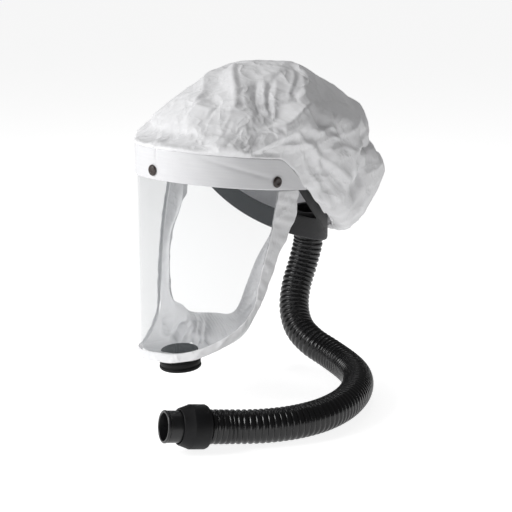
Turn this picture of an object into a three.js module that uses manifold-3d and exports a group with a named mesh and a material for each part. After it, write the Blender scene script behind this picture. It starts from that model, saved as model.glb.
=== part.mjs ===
// A disposable respirator hood: a gathered crown of spunbond cloth on a brow band, a clear wrap-round
// visor bound with cloth, a cloth face seal with a valve under the chin, a strap round the nape and a
// corrugated breathing hose that lies in a loop on the surface below.
// Millimetres, +Z up, +X is the wearer's left and the face looks along -Y. The origin is the middle of
// the head opening, level with the band's lower edge at the temples.

import * as THREE from 'three';
import { mergeVertices } from 'three/addons/utils/BufferGeometryUtils.js';
import Module from 'manifold-3d';

const wasm = await Module();
wasm.setup();

// Walls and clearances
const GAP = 0.3;
const CLOTH = 1.2;
const BAND_THICK = 1.5;
const VISOR_THICK = 1.0;
const BINDING_THICK = 1.2;
const STRAP_THICK = 1.6;
const MERGE = 1e-3;

// Head ring: the plan outline that the visor, the band, the binding and the strap share
const HEAD_RING = { front: -93, back: 130, half: 84, mid: 0, square: 2.5 };

// Brow band: its lower edge rises towards the brow, its tail tapers along the falling hem
const BAND_HEIGHT = 33;
const BAND_RISE = 0.13;
const BAND_TAIL_HEIGHT = 2;
const BAND_TAIL_LIMIT = 125;
const BAND_TAIL_STEP = 0.25;
const HEM_EASE = 25;
const HEM_DROP = 105;
const HEM_FALL = 75;
const HEM_CLEAR = 1;
const VISOR_TUCK = 25;

// Studs
const STUD_RADIUS = 5.75;
const STUD_CAP = 2.2;
const STUD_DIMPLE = 0.7;
const STUD_WALL = 1;
const STUD_TOP = 4.6;
const STUD_DIMPLE_TOP = 2.6;
const STUD_DIMPLE_FLOOR = 1.7;
const STUD_SIDES = 12;
const STUD_FRONT_Z = 21.5;
const STUD_SIDE_Z = 9;
const STUD_SIDE_ANGLE = 87.5;

// Nape strap
const STRAP_HEIGHT = 22;
const STRAP_INSET = 4;
const STRAP_LOW = 4;
const STRAP_DIP = 0.11;
const STRAP_START_ANGLE = 84;

// Chin valve, along its own axis from the cloth
const VALVE_Y = -62;
const VALVE_Z = -175;
const VALVE_TILT = 4;
const VALVE_NECK = 19.6;
const VALVE_LIP = 22;
const VALVE_BORE = 17;
const VALVE_TOP = 2.5;
const VALVE_DROP = 17;
const VALVE_EDGE = 1;
const VALVE_LIP_HEIGHT = 3;
const VALVE_GROOVE = 1.4;
const VALVE_GROOVE_FOOT = 3.6;
const VALVE_GROOVE_HEAD = 4.8;
const VALVE_FLANGE = 21.7;
const VALVE_FLANGE_FOOT = 5.4;
const VALVE_FLANGE_HEAD = 9;
const VALVE_NECK_FOOT = 10;
const VALVE_SEAT_LEVEL = 8;
const VALVE_SEAT_THICK = 2;
const VALVE_HUB = 6;
const VALVE_HUB_TOP = 5;
const VALVE_HUB_RISE = 1;
const VALVE_POST = 1.1;
const VALVE_POST_RISE = 5.6;
const VALVE_POST_TIP = 0.5;
const VALVE_POSTS = [-3.6, 0];
const VALVE_POST_SIDES = 8;

// Breathing hose, its inlet collar, its cuff and its plug
const HOSE_RADIUS = 17;
const HOSE_SIDES = 12;
const HOSE_STEPS = 30;
const INLET_RADIUS = 21.5;
const INLET_BORE = 14.5;
const INLET_INSIDE = 12;
const INLET_OUTSIDE = 9;
const INLET_ROUND = 2;
const INLET_DRILL = 45;
const CUFF_RADIUS = 21.7;
const CUFF_LENGTH = 28.5;
const CUFF_CHAMFER = 9.7;
const CUFF_SHOULDER = 17.5;
const CUFF_ROUND = 2.5;
const PLUG_RADIUS = 15.9;
const PLUG_BORE = 13.2;
const PLUG_REACH = 15.5;
const PLUG_SOCKET = 13;
const PLUG_FLOOR = 3;
const PLUG_LIP = 0.8;
const ROUND_SIDES = 24;

// Crown outline: a ring for each level, from the hem to the top. front and back are Y, half is the
// half width, mid is where the ring is widest, and square is how square its rear half is
const CROWN_RINGS = [
  { name: 'hem', front: -94.8, frontZ: 45.2, back: 131, backZ: -63, half: 85.8, mid: 0, square: 2.5 },
  { name: 'nape_roll', front: -94, frontZ: 47.5, back: 148, backZ: -71, half: 87, mid: 4, square: 2.9 },
  { name: 'bag_low', front: -86.5, frontZ: 48.5, back: 171, backZ: -52, half: 90, mid: 12, square: 3.3 },
  { name: 'bag_full', front: -77, frontZ: 50.5, back: 191, backZ: -16, half: 94.5, mid: 22, square: 3.6 },
  { name: 'lobe_top', front: -68.5, frontZ: 55.5, back: 185, backZ: 13, half: 95.5, mid: 30, square: 3.6 },
  { name: 'notch', front: -62.5, frontZ: 64, back: 162, backZ: 36, half: 97, mid: 36, square: 3.5 },
  { name: 'shoulder', front: -55.5, frontZ: 71.5, back: 165, backZ: 62, half: 91, mid: 42, square: 3.1 },
  { name: 'upper', front: -36, frontZ: 87.5, back: 150, backZ: 82, half: 73, mid: 46, square: 2.7 },
  { name: 'high', front: -8.5, frontZ: 103, back: 124, backZ: 99, half: 57.5, mid: 54, square: 2.4 },
  { name: 'cap', front: 13.5, frontZ: 114, back: 99, backZ: 110, half: 40, mid: 57, square: 2.2 },
  { name: 'crest', front: 37, frontZ: 118, back: 79, backZ: 117, half: 19.5, mid: 58, square: 2 },
  { name: 'top', front: 58, frontZ: 118.5, back: 58, backZ: 118.5, half: 0, mid: 58, square: 2 },
];
const CROWN_COLUMNS = 60;
const CROWN_ROWS = 20;

// Main folds of the crown: a line from one angle and level to another, raised or sunk by height, with
// width as the distance at which it has mostly died away
const CROWN_FOLDS = [
  { name: 'brow_dent', startAngle: 2, start: 0.69, endAngle: 18, end: 0.64, height: -6, width: 13 },
  { name: 'brow_puff', startAngle: 14, start: 0.4, endAngle: 40, end: 0.28, height: 4, width: 16 },
  { name: 'brow_gather', startAngle: 6, start: 0.06, endAngle: 4, end: 0.45, height: -2.5, width: 8 },
  { name: 'top_gather', startAngle: -50, start: 0.88, endAngle: 30, end: 0.67, height: -3, width: 9 },
  { name: 'top_ridge', startAngle: 130, start: 0.86, endAngle: 84, end: 0.6, height: 5, width: 14 },
  { name: 'left_slope', startAngle: 42, start: 0.78, endAngle: 64, end: 0.6, height: -6, width: 24 },
  { name: 'long_ridge', startAngle: 47, start: 0.16, endAngle: 78, end: 0.56, height: 5, width: 13 },
  { name: 'left_hollow', startAngle: 66, start: 0.16, endAngle: 80, end: 0.36, height: -5, width: 15 },
  { name: 'ear_crease', startAngle: 86, start: 0.42, endAngle: 112, end: 0.17, height: -5, width: 11 },
  { name: 'ear_ridge', startAngle: 96, start: 0.3, endAngle: 128, end: 0.13, height: 4, width: 10 },
  { name: 'rear_crumple', startAngle: 95, start: 0.52, endAngle: 112, end: 0.44, height: -5, width: 11 },
  { name: 'left_lobe', startAngle: 127, start: 0.44, endAngle: 121, end: 0.22, height: -6, width: 10 },
  { name: 'right_slope', startAngle: -46, start: 0.76, endAngle: -70, end: 0.58, height: -2, width: 24 },
  { name: 'right_ridge', startAngle: -52, start: 0.2, endAngle: -84, end: 0.52, height: 5, width: 13 },
  { name: 'right_crease', startAngle: -88, start: 0.4, endAngle: -114, end: 0.18, height: -5, width: 11 },
  { name: 'right_lobe', startAngle: -130, start: 0.42, endAngle: -124, end: 0.22, height: -5, width: 10 },
  { name: 'back_crease', startAngle: 176, start: 0.74, endAngle: 188, end: 0.46, height: -5, width: 12 },
  { name: 'back_ridge', startAngle: 152, start: 0.62, endAngle: 160, end: 0.3, height: 4, width: 13 },
];
const FOLD_POINTS = 7;
const HEM_GATHERS = 15;
const HEM_GATHER = 1.6;
const HEM_REACH = 0.1;

// Visor edge from the temple to the chin: the clear sheet ends at edge, the binding at outer. The right
// side goes further round by turn and hangs lower by drop
const VISOR_EDGE = [
  { name: 'temple', edgeAngle: 91, edgeZ: -2, outerAngle: 102.5, outerZ: -6, turn: 0, drop: 0 },
  { name: 'ear', edgeAngle: 88, edgeZ: -22, outerAngle: 101, outerZ: -25, turn: 0, drop: 0 },
  { name: 'cheekbone', edgeAngle: 84.5, edgeZ: -46, outerAngle: 96.5, outerZ: -48, turn: 0, drop: 0 },
  { name: 'cheek', edgeAngle: 79.5, edgeZ: -71, outerAngle: 88, outerZ: -73, turn: 2.5, drop: 1 },
  { name: 'jaw', edgeAngle: 75.2, edgeZ: -96, outerAngle: 81, outerZ: -98, turn: 4.8, drop: 4 },
  { name: 'jaw_corner', edgeAngle: 71.5, edgeZ: -119, outerAngle: 74, outerZ: -121, turn: 7, drop: 9 },
  { name: 'chin_corner', edgeAngle: 61, edgeZ: -139, outerAngle: 62, outerZ: -145, turn: 14.5, drop: 20 },
  { name: 'chin_side', edgeAngle: 41.5, edgeZ: -157, outerAngle: 41.5, outerZ: -165, turn: 16.5, drop: 24 },
  { name: 'chin_front', edgeAngle: 20, edgeZ: -168, outerAngle: 20, outerZ: -176, turn: 7, drop: 9 },
  { name: 'chin', edgeAngle: 0, edgeZ: -171.5, outerAngle: 0, outerZ: -179, turn: 0, drop: 0 },
];
const EDGE_STEPS = 27;
const BINDING_LAP = 2;

// Face seal at the same places: the elastic edge round the face, and the knee of cloth behind the visor
const SEAL_LINES = [
  { name: 'temple', openX: 78, openY: 15, openZ: -6, kneeX: 81, kneeY: 9, kneeZ: -4 },
  { name: 'ear', openX: 75, openY: 11, openZ: -22, kneeX: 80, kneeY: 6, kneeZ: -22 },
  { name: 'cheekbone', openX: 71, openY: 2, openZ: -46, kneeX: 78, kneeY: 2, kneeZ: -47 },
  { name: 'cheek', openX: 67, openY: -13, openZ: -69, kneeX: 75.5, kneeY: -7, kneeZ: -72 },
  { name: 'jaw', openX: 62, openY: -23, openZ: -96, kneeX: 72, kneeY: -14, kneeZ: -100 },
  { name: 'jaw_corner', openX: 54, openY: -29, openZ: -121, kneeX: 66, kneeY: -17, kneeZ: -128 },
  { name: 'chin_corner', openX: 43, openY: -32, openZ: -131, kneeX: 56, kneeY: -21, kneeZ: -150 },
  { name: 'chin_side', openX: 29, openY: -38, openZ: -133, kneeX: 41, kneeY: -29, kneeZ: -163 },
  { name: 'chin_front', openX: 14, openY: -45, openZ: -133, kneeX: 20, kneeY: -34, kneeZ: -169 },
  { name: 'chin', openX: 0, openY: -49, openZ: -132, kneeX: 0, kneeY: -35, kneeZ: -170 },
];
const SEAL_ROWS = 6;
const SEAL_PLEAT = 2;
const SEAL_PLEATS = 5;
const SEAL_PLEAT_REACH = 0.7;

// Hose route along its middle, from the inlet under the nape to the cuff
const HOSE_ROUTE = [
  [-24, 155.5, -77],
  [-26, 157, -95],
  [-29, 152, -120],
  [-28, 140, -146],
  [-20, 129, -169],
  [-4, 121, -186],
  [18, 118, -197],
  [44, 120, -206],
  [73, 114, -211],
  [98, 101, -212],
  [119, 84, -212],
  [138, 62, -212],
  [153, 38, -212],
  [165, 9, -212],
  [171, -25, -212],
  [168, -56, -212],
  [160, -78, -212],
  [150, -97, -211.5],
  [136.1, -117.9, -210.3],
  [131.6, -128.9, -208.8],
  [127.2, -139.9, -207.2],
];

const DEGREE = Math.PI / 180;

// Value at f between b and c on a smooth line through a, b, c and d.
function smoothBetween(a, b, c, d, f) {
  const rise = 0.5 * (c - a);
  const fall = 0.5 * (d - b);
  const square = f * f;
  const cube = square * f;
  return (2 * cube - 3 * square + 1) * b + (cube - 2 * square + f) * rise
    + (3 * square - 2 * cube) * c + (cube - square) * fall;
}

// A row read from a table at t, 0 for the first row and 1 for the last, on smooth lines between rows.
function rowAt(rows, t) {
  const span = t * (rows.length - 1);
  const index = Math.min(Math.floor(span), rows.length - 2);
  const last = rows.length - 1;
  const [a, b, c, d] = [-1, 0, 1, 2].map((step) => rows[Math.min(Math.max(index + step, 0), last)]);
  const row = {};
  for (const key of Object.keys(b)) {
    if (key !== 'name') {
      row[key] = smoothBetween(a[key], b[key], c[key], d[key], span - index);
    }
  }
  return row;
}

// Plan point of a ring at an angle in degrees, 0 at the front and 90 at the left temple.
function ringPoint(ring, angle, offset = 0) {
  const s = Math.sin(angle * DEGREE);
  const c = Math.cos(angle * DEGREE);
  const power = c >= 0 ? 2 : ring.square;
  const reach = (Math.abs(s) ** power + Math.abs(c) ** power) ** (-1 / power);
  const length = c >= 0 ? ring.mid - ring.front : ring.back - ring.mid;
  const x = (ring.half + offset) * s * reach;
  const y = ring.mid - (length + offset) * c * reach;
  return [x, y];
}

// Point of the head ring at an angle and a height.
function headPoint(angle, z, offset = 0) {
  const [x, y] = ringPoint(HEAD_RING, angle, offset);
  return new THREE.Vector3(x, y, z);
}

// Height of the band's lower edge.
function bandFoot(y) {
  return -BAND_RISE * y;
}

// Height of the line where the crown's hem runs: the band's top, then the fall to the nape.
function hemHeight(y) {
  const past = Math.max(0, y);
  const eased = (past * past) / (past + HEM_EASE);
  return bandFoot(y) + BAND_HEIGHT - HEM_DROP * (1 - Math.exp(-eased / HEM_FALL));
}

// Share of the hem's fall at t, 0 at the front of a ring and 1 at its back.
function hemFall(t) {
  const y = HEAD_RING.front + t * (HEAD_RING.back - HEAD_RING.front);
  const start = hemHeight(HEAD_RING.front);
  return (start - hemHeight(y)) / (start - hemHeight(HEAD_RING.back));
}

// A closed solid from two like grids of points, outer and inner, joined along their free edges.
function sheetSolid(outer, inner, wrap = false) {
  const triangles = [];
  const quad = (a, b, c, d) => triangles.push(a, b, c, a, c, d);
  const rows = outer.length;
  const columns = outer[0].length;
  const across = wrap ? columns : columns - 1;
  for (let i = 0; i < rows - 1; i += 1) {
    for (let j = 0; j < across; j += 1) {
      const k = (j + 1) % columns;
      quad(outer[i][j], outer[i][k], outer[i + 1][k], outer[i + 1][j]);
      quad(inner[i][j], inner[i + 1][j], inner[i + 1][k], inner[i][k]);
    }
  }
  for (let j = 0; j < across; j += 1) {
    const k = (j + 1) % columns;
    quad(outer[0][j], inner[0][j], inner[0][k], outer[0][k]);
    quad(outer[rows - 1][j], outer[rows - 1][k], inner[rows - 1][k], inner[rows - 1][j]);
  }
  for (let i = 0; i < rows - 1 && !wrap; i += 1) {
    const end = columns - 1;
    quad(outer[i][0], outer[i + 1][0], inner[i + 1][0], inner[i][0]);
    quad(outer[i][end], inner[i][end], inner[i + 1][end], outer[i + 1][end]);
  }
  return closedGeometry(triangles);
}

// Geometry from corner points three to a triangle, with shared points merged and faces turned out.
function closedGeometry(points) {
  const loose = new THREE.BufferGeometry();
  const numbers = points.flatMap((point) => point.toArray());
  loose.setAttribute('position', new THREE.Float32BufferAttribute(numbers, 3));
  const merged = mergeVertices(loose, MERGE);
  const kept = [];
  let volume = 0;
  const corner = [new THREE.Vector3(), new THREE.Vector3(), new THREE.Vector3()];
  for (let i = 0; i < merged.index.count; i += 3) {
    const face = [0, 1, 2].map((step) => merged.index.getX(i + step));
    if (new Set(face).size === 3) {
      kept.push(face);
      face.forEach((vertex, step) => corner[step].fromBufferAttribute(merged.attributes.position, vertex));
      volume += corner[0].dot(corner[1].clone().cross(corner[2]));
    }
  }
  merged.setIndex(kept.flatMap((face) => (volume < 0 ? face.toReversed() : face)));
  merged.computeVertexNormals();
  return merged;
}

// Directions square to a grid of points, on the side that its rows and columns turn to.
function gridNormals(grid, wrap = false) {
  const rows = grid.length;
  const columns = grid[0].length;
  const column = (j) => (wrap ? (j + columns) % columns : Math.min(Math.max(j, 0), columns - 1));
  return grid.map((row, i) => row.map((point, j) => {
    const along = row[column(j + 1)].clone().sub(row[column(j - 1)]);
    const up = grid[Math.min(i + 1, rows - 1)][j].clone().sub(grid[Math.max(i - 1, 0)][j]);
    return along.cross(up).normalize();
  }));
}

// A grid moved along its normals.
function offsetGrid(grid, normals, distance) {
  const moved = (point, normal) => point.clone().addScaledVector(normal, distance);
  return grid.map((row, i) => row.map((point, j) => moved(point, normals[i][j])));
}

// The corner points of a geometry, three to a triangle.
function cornersOf(geometry) {
  const positions = geometry.attributes.position;
  const corner = (i) => new THREE.Vector3().fromBufferAttribute(positions, i);
  return Array.from({ length: positions.count }, (_, i) => corner(i));
}

// A solid of revolution about +Z from a closed outline of [radius, height] pairs.
function turned(outline, sides = ROUND_SIDES) {
  const points = [...outline, outline[0]].map((pair) => new THREE.Vector2(...pair));
  const lathe = new THREE.LatheGeometry(points, sides);
  lathe.rotateX(Math.PI / 2);
  return closedGeometry(cornersOf(lathe.toNonIndexed()));
}

// A plain rod about +Z that reaches equally far up and down.
function rodGeometry(radius, reach) {
  return turned([[0, -reach], [radius, -reach], [radius, reach], [0, reach]]);
}

// A closed geometry as a solid that can be joined and cut.
function toSolid(geometry) {
  const plain = new THREE.BufferGeometry();
  plain.setAttribute('position', geometry.attributes.position.clone());
  plain.setIndex(geometry.index.clone());
  const merged = mergeVertices(plain, MERGE);
  return new wasm.Manifold(new wasm.Mesh({
    numProp: 3,
    vertProperties: new Float32Array(merged.attributes.position.array),
    triVerts: new Uint32Array(merged.index.array),
  }));
}

// The geometry of a solid.
function fromSolid(solid) {
  const mesh = solid.getMesh();
  const geometry = new THREE.BufferGeometry();
  geometry.setAttribute('position', new THREE.Float32BufferAttribute(mesh.vertProperties, 3));
  geometry.setIndex(Array.from(mesh.triVerts));
  geometry.computeVertexNormals();
  return geometry;
}

// A geometry turned so that its +Z runs along a direction, and moved to a place.
function placed(geometry, place, direction) {
  const up = new THREE.Vector3(0, 0, 1);
  const turn = new THREE.Quaternion().setFromUnitVectors(up, direction.clone().normalize());
  return geometry.clone().applyQuaternion(turn).translate(place.x, place.y, place.z);
}

const WHITE_CLOTH = { color: 0xeeeeee, roughness: 0.85, metalness: 0 };
const BAND_CLOTH = { color: 0xf4f4f4, roughness: 0.8, metalness: 0 };
const CLEAR_SHEET = { color: 0xe6eaec, roughness: 0.08, metalness: 0, transparent: true, opacity: 0.25 };
const BLACK_RUBBER = { color: 0x18181a, roughness: 0.55, metalness: 0 };
const BLACK_GLOSS = { color: 0x141416, roughness: 0.28, metalness: 0 };
const STUD_DARK = { color: 0x2b2523, roughness: 0.45, metalness: 0.2 };
const STRAP_WEB = { color: 0x26262a, roughness: 0.8, metalness: 0 };

const hood = new THREE.Group();

// A named sub-part in the hood.
function add(name, geometry, finish) {
  const mesh = new THREE.Mesh(geometry, new THREE.MeshStandardMaterial(finish));
  mesh.name = name;
  hood.add(mesh);
  return mesh;
}

// Crown point before its folds, at an angle and a level v from 0 at the hem to 1 at the top.
function crownPoint(angle, v) {
  const ring = rowAt(CROWN_RINGS, v);
  const [x, y] = ringPoint(ring, angle);
  const span = ring.back - ring.front;
  const t = span > GAP ? (y - ring.front) / span : 0;
  const z = ring.frontZ + (ring.backZ - ring.frontZ) * hemFall(Math.min(Math.max(t, 0), 1));
  return new THREE.Vector3(x, y, z);
}

// How far the folds and the gathers along the hem lift a crown point.
function crownLift(point, angle, v) {
  const calm = Math.min(1, v / HEM_REACH);
  let lift = 0;
  for (const { row, line } of foldLines) {
    const nearest = Math.min(...line.map((place) => place.distanceTo(point)));
    lift += row.height * Math.exp(-((nearest / row.width) ** 2));
  }
  const rear = Math.max(0, -Math.cos(angle * DEGREE));
  const wave = Math.cos(HEM_GATHERS * angle * DEGREE);
  return calm * lift + HEM_GATHER * rear * wave * Math.exp(-v / HEM_REACH);
}

// Angles of the crown's columns. The band takes the same ones, so that its top follows the hem.
function crownAngles() {
  return Array.from({ length: CROWN_COLUMNS }, (_, j) => (j * 360) / CROWN_COLUMNS);
}

// The gathered crown, open below along its hem, with the hole that the hose inlet goes through.
function crownGeometry() {
  const base = [];
  const lifts = [];
  for (let i = 0; i <= CROWN_ROWS; i += 1) {
    const v = i / CROWN_ROWS;
    base.push(crownAngles().map((angle) => crownPoint(angle, v)));
    lifts.push(crownAngles().map((angle, j) => crownLift(base[i][j], angle, v)));
  }
  const flat = gridNormals(base, true);
  const grid = base.map((row, i) => row.map((point, j) => (
    i < CROWN_ROWS ? point.clone().addScaledVector(flat[i][j], lifts[i][j]) : point)));
  const normals = gridNormals(grid, true);
  normals[0].forEach((normal) => normal.setZ(0).normalize());
  normals[CROWN_ROWS].forEach((normal) => normal.set(0, 0, 1));
  const inner = offsetGrid(grid, normals, -CLOTH);
  const shell = toSolid(sheetSolid(grid, inner, true));
  const drill = rodGeometry(INLET_RADIUS + GAP, INLET_DRILL);
  return fromSolid(shell.subtract(toSolid(placed(drill, inletCentre, inletAxis))));
}

// The brow band, with its tails tapering along the hem behind the temples.
function bandGeometry() {
  let tail = STUD_SIDE_ANGLE;
  const gapAt = (angle) => {
    const [, y] = ringPoint(HEAD_RING, angle);
    return hemHeight(y) - HEM_CLEAR - bandFoot(y);
  };
  while (gapAt(tail) > BAND_TAIL_HEIGHT && tail < BAND_TAIL_LIMIT) {
    tail += BAND_TAIL_STEP;
  }
  const pointAt = (offset, share, angle) => {
    const [, y] = ringPoint(HEAD_RING, angle);
    return headPoint(angle, bandFoot(y) + share * gapAt(angle), offset);
  };
  const inside = crownAngles().map((angle) => angle - 180).filter((angle) => Math.abs(angle) < tail);
  const angles = [-tail, ...inside, tail];
  const face = (offset) => [0, 0.5, 1].map((share) => angles.map((angle) => pointAt(offset, share, angle)));
  return sheetSolid(face(GAP + BAND_THICK), face(GAP));
}

// A row of an edge table at t from -1, the right temple, to 1, the left, with the chin between.
function mirroredRow(rows, t) {
  return rowAt(rows, 1 - Math.abs(t));
}

// The visor's edge at t, with the right side's own turn and drop.
function edgeRow(t) {
  const row = mirroredRow(VISOR_EDGE, t);
  if (t >= 0) return row;
  return {
    edgeAngle: row.edgeAngle + row.turn,
    edgeZ: row.edgeZ - row.drop,
    outerAngle: row.outerAngle + row.turn,
    outerZ: row.outerZ - row.drop,
  };
}

// Places along the visor's edge, from the right temple over the chin to the left.
function edgePlaces() {
  return Array.from({ length: 2 * EDGE_STEPS + 1 }, (_, j) => (j - EDGE_STEPS) / EDGE_STEPS);
}

// The clear visor, from under the band to its curved lower edge.
function visorGeometry() {
  const faces = [-VISOR_THICK, 0].map((offset) => [0, 0.5, 1].map((share) => edgePlaces().map((t) => {
    const row = edgeRow(t);
    const angle = Math.sign(t) * row.edgeAngle;
    const [, y] = ringPoint(HEAD_RING, angle);
    const top = bandFoot(y) + VISOR_TUCK;
    return headPoint(angle, row.edgeZ + share * (top - row.edgeZ), offset);
  })));
  return sheetSolid(faces[1], faces[0]);
}

// The cloth strip that binds the visor's edge.
function bindingGeometry() {
  const pointAt = (offset, side, t) => {
    const row = edgeRow(t);
    const turn = row.outerAngle - row.edgeAngle;
    const drop = row.outerZ - row.edgeZ;
    const width = Math.hypot(turn * DEGREE * HEAD_RING.half, drop);
    const share = side < 0 ? -BINDING_LAP / width : side;
    return headPoint(Math.sign(t) * (row.edgeAngle + share * turn), row.edgeZ + share * drop, offset);
  };
  const face = (offset) => [-1, 0, 1].map((side) => edgePlaces().map((t) => pointAt(offset, side, t)));
  return sheetSolid(face(GAP + BINDING_THICK), face(GAP));
}

// The face seal: pleated cloth from the visor's edge to the elastic edge round the face, with a floor
// under the chin that the valve goes through.
function sealGeometry() {
  const inset = VISOR_THICK + GAP + CLOTH;
  const columns = edgePlaces().map((t) => {
    const edge = edgeRow(t);
    const line = mirroredRow(SEAL_LINES, t);
    const side = Math.sign(t);
    const start = headPoint(side * edge.edgeAngle, edge.edgeZ + CLOTH, -inset);
    const knee = new THREE.Vector3(side * line.kneeX, line.kneeY, line.kneeZ);
    const end = new THREE.Vector3(side * line.openX, line.openY, line.openZ);
    const bend = knee.clone().multiplyScalar(2).addScaledVector(start.clone().add(end), -0.5);
    const curve = new THREE.QuadraticBezierCurve3(start, bend, end);
    return Array.from({ length: SEAL_ROWS + 1 }, (_, i) => curve.getPoint(i / SEAL_ROWS));
  });
  const flat = Array.from({ length: SEAL_ROWS + 1 }, (_, i) => columns.map((column) => column[i]));
  const across = gridNormals(flat);
  const grid = flat.map((row, i) => row.map((point, j) => {
    const t = edgePlaces()[j];
    const fade = Math.max(0, 1 - Math.abs(t) / SEAL_PLEAT_REACH) * Math.sin((Math.PI * i) / SEAL_ROWS);
    const wave = Math.sin(2 * Math.PI * SEAL_PLEATS * t);
    return point.clone().addScaledVector(across[i][j], SEAL_PLEAT * fade * wave);
  }));
  const normals = gridNormals(grid);
  const face = (side) => offsetGrid(grid, normals, (side * CLOTH) / 2);
  const shell = toSolid(sheetSolid(face(1), face(-1)));
  const drill = rodGeometry(VALVE_NECK + GAP, VALVE_LIP);
  return fromSolid(shell.subtract(toSolid(placed(drill, valveCentre, valveAxis))));
}

// The strap round the nape, from one temple to the other inside the hem.
function strapGeometry() {
  const offsets = [-STRAP_INSET - STRAP_THICK, -STRAP_INSET];
  const faces = offsets.map((offset) => [0, 1].map((share) => {
    const row = [];
    for (let j = 0; j <= 2 * EDGE_STEPS; j += 1) {
      const angle = STRAP_START_ANGLE + (j * (360 - 2 * STRAP_START_ANGLE)) / (2 * EDGE_STEPS);
      const [, y] = ringPoint(HEAD_RING, angle);
      const low = Math.min(hemHeight(y) - STRAP_LOW - STRAP_DIP * y, bandFoot(y) + STRAP_LOW);
      row.push(headPoint(angle, low + share * STRAP_HEIGHT, offset));
    }
    return row;
  }));
  return sheetSolid(faces[1], faces[0]);
}

// A press stud: a domed cap with a dimple, standing on the band.
function studGeometry(angle, height) {
  const floor = STUD_CAP - STUD_DIMPLE;
  const outline = [
    [0, 0], [STUD_RADIUS, 0], [STUD_RADIUS, STUD_WALL], [STUD_TOP, STUD_CAP],
    [STUD_DIMPLE_TOP, STUD_CAP], [STUD_DIMPLE_FLOOR, floor], [0, floor],
  ];
  const lift = 2 * GAP + BAND_THICK;
  const place = headPoint(angle, height, lift);
  const step = 1;
  const along = headPoint(angle + step, height, lift).sub(headPoint(angle - step, height, lift));
  return placed(turned(outline, STUD_SIDES), place, new THREE.Vector3(along.y, -along.x, 0));
}

// The chin valve's body: a neck through the cloth, a flange, a groove and a lip below.
function valveBodyGeometry() {
  const groove = VALVE_LIP - VALVE_GROOVE;
  const outline = [
    [VALVE_BORE, -VALVE_DROP],
    [VALVE_LIP - VALVE_EDGE, -VALVE_DROP],
    [VALVE_LIP, -VALVE_DROP + VALVE_EDGE],
    [VALVE_LIP, -VALVE_DROP + VALVE_LIP_HEIGHT],
    [groove, -VALVE_DROP + VALVE_GROOVE_FOOT],
    [groove, -VALVE_DROP + VALVE_GROOVE_HEAD],
    [VALVE_FLANGE, -VALVE_DROP + VALVE_FLANGE_FOOT],
    [VALVE_FLANGE, -VALVE_DROP + VALVE_FLANGE_HEAD],
    [VALVE_NECK, -VALVE_DROP + VALVE_NECK_FOOT],
    [VALVE_NECK, VALVE_TOP],
    [VALVE_BORE, VALVE_TOP],
  ];
  return placed(turned(outline), valveCentre, valveAxis);
}

// The valve's insert: a seat plate in the bore with a hub and two small posts.
function valveInsertGeometry() {
  const low = -VALVE_DROP + VALVE_SEAT_LEVEL;
  const high = low + VALVE_SEAT_THICK;
  const edge = VALVE_BORE - GAP;
  const hub = high + VALVE_HUB_RISE;
  const tip = VALVE_TOP + VALVE_POST_RISE;
  const seatLine = [[0, low], [edge, low], [edge, high], [VALVE_HUB, high], [VALVE_HUB_TOP, hub], [0, hub]];
  const postLine = [[0, low], [VALVE_POST, low], [VALVE_POST, tip], [0, tip + VALVE_POST_TIP]];
  const seat = toSolid(turned(seatLine));
  const post = turned(postLine, VALVE_POST_SIDES);
  const posts = VALVE_POSTS.map((step) => toSolid(post.clone().translate(step, step, 0)));
  const body = posts.reduce((whole, piece) => whole.add(piece), seat);
  return placed(fromSolid(body), valveCentre, valveAxis);
}

// The collar that the hose leaves the nape through.
function inletGeometry() {
  const lip = INLET_RADIUS - INLET_ROUND;
  const outline = [
    [INLET_BORE, -INLET_INSIDE], [lip, -INLET_INSIDE], [INLET_RADIUS, -INLET_INSIDE + INLET_ROUND],
    [INLET_RADIUS, INLET_OUTSIDE - INLET_ROUND], [lip, INLET_OUTSIDE], [INLET_BORE, INLET_OUTSIDE],
  ];
  return placed(turned(outline), inletCentre, inletAxis);
}

// The hose as a plain tube along its route.
function hoseGeometry() {
  const section = new THREE.Shape();
  for (let i = 0; i < HOSE_SIDES; i += 1) {
    const turn = (i * 2 * Math.PI) / HOSE_SIDES;
    const corner = [HOSE_RADIUS * Math.cos(turn), HOSE_RADIUS * Math.sin(turn)];
    if (i === 0) {
      section.moveTo(...corner);
    } else {
      section.lineTo(...corner);
    }
  }
  section.closePath();
  const tube = new THREE.ExtrudeGeometry(section, { extrudePath: hoseLine, steps: HOSE_STEPS });
  return closedGeometry(cornersOf(tube));
}

// The cuff that clamps the hose's end, with a chamfered front and a socket for the plug.
function cuffGeometry() {
  const socket = PLUG_RADIUS + GAP;
  const depth = CUFF_LENGTH - PLUG_SOCKET;
  const outline = [
    [0, 0], [CUFF_RADIUS - CUFF_ROUND, 0], [CUFF_RADIUS, CUFF_ROUND],
    [CUFF_RADIUS, CUFF_LENGTH - CUFF_CHAMFER], [CUFF_SHOULDER, CUFF_LENGTH],
    [socket, CUFF_LENGTH], [socket, depth], [0, depth],
  ];
  return placed(turned(outline), cuffPlace, hoseEnd);
}

// The plug: an open tube with a thin lip round its mouth.
function plugGeometry() {
  const back = CUFF_LENGTH - PLUG_SOCKET + GAP;
  const tip = CUFF_LENGTH + PLUG_REACH;
  const floor = back + PLUG_FLOOR;
  const outline = [
    [0, back], [PLUG_RADIUS, back], [PLUG_RADIUS, tip - PLUG_LIP], [PLUG_RADIUS - PLUG_LIP, tip],
    [PLUG_BORE, tip], [PLUG_BORE, floor], [0, floor],
  ];
  return placed(turned(outline), cuffPlace, hoseEnd);
}

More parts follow.
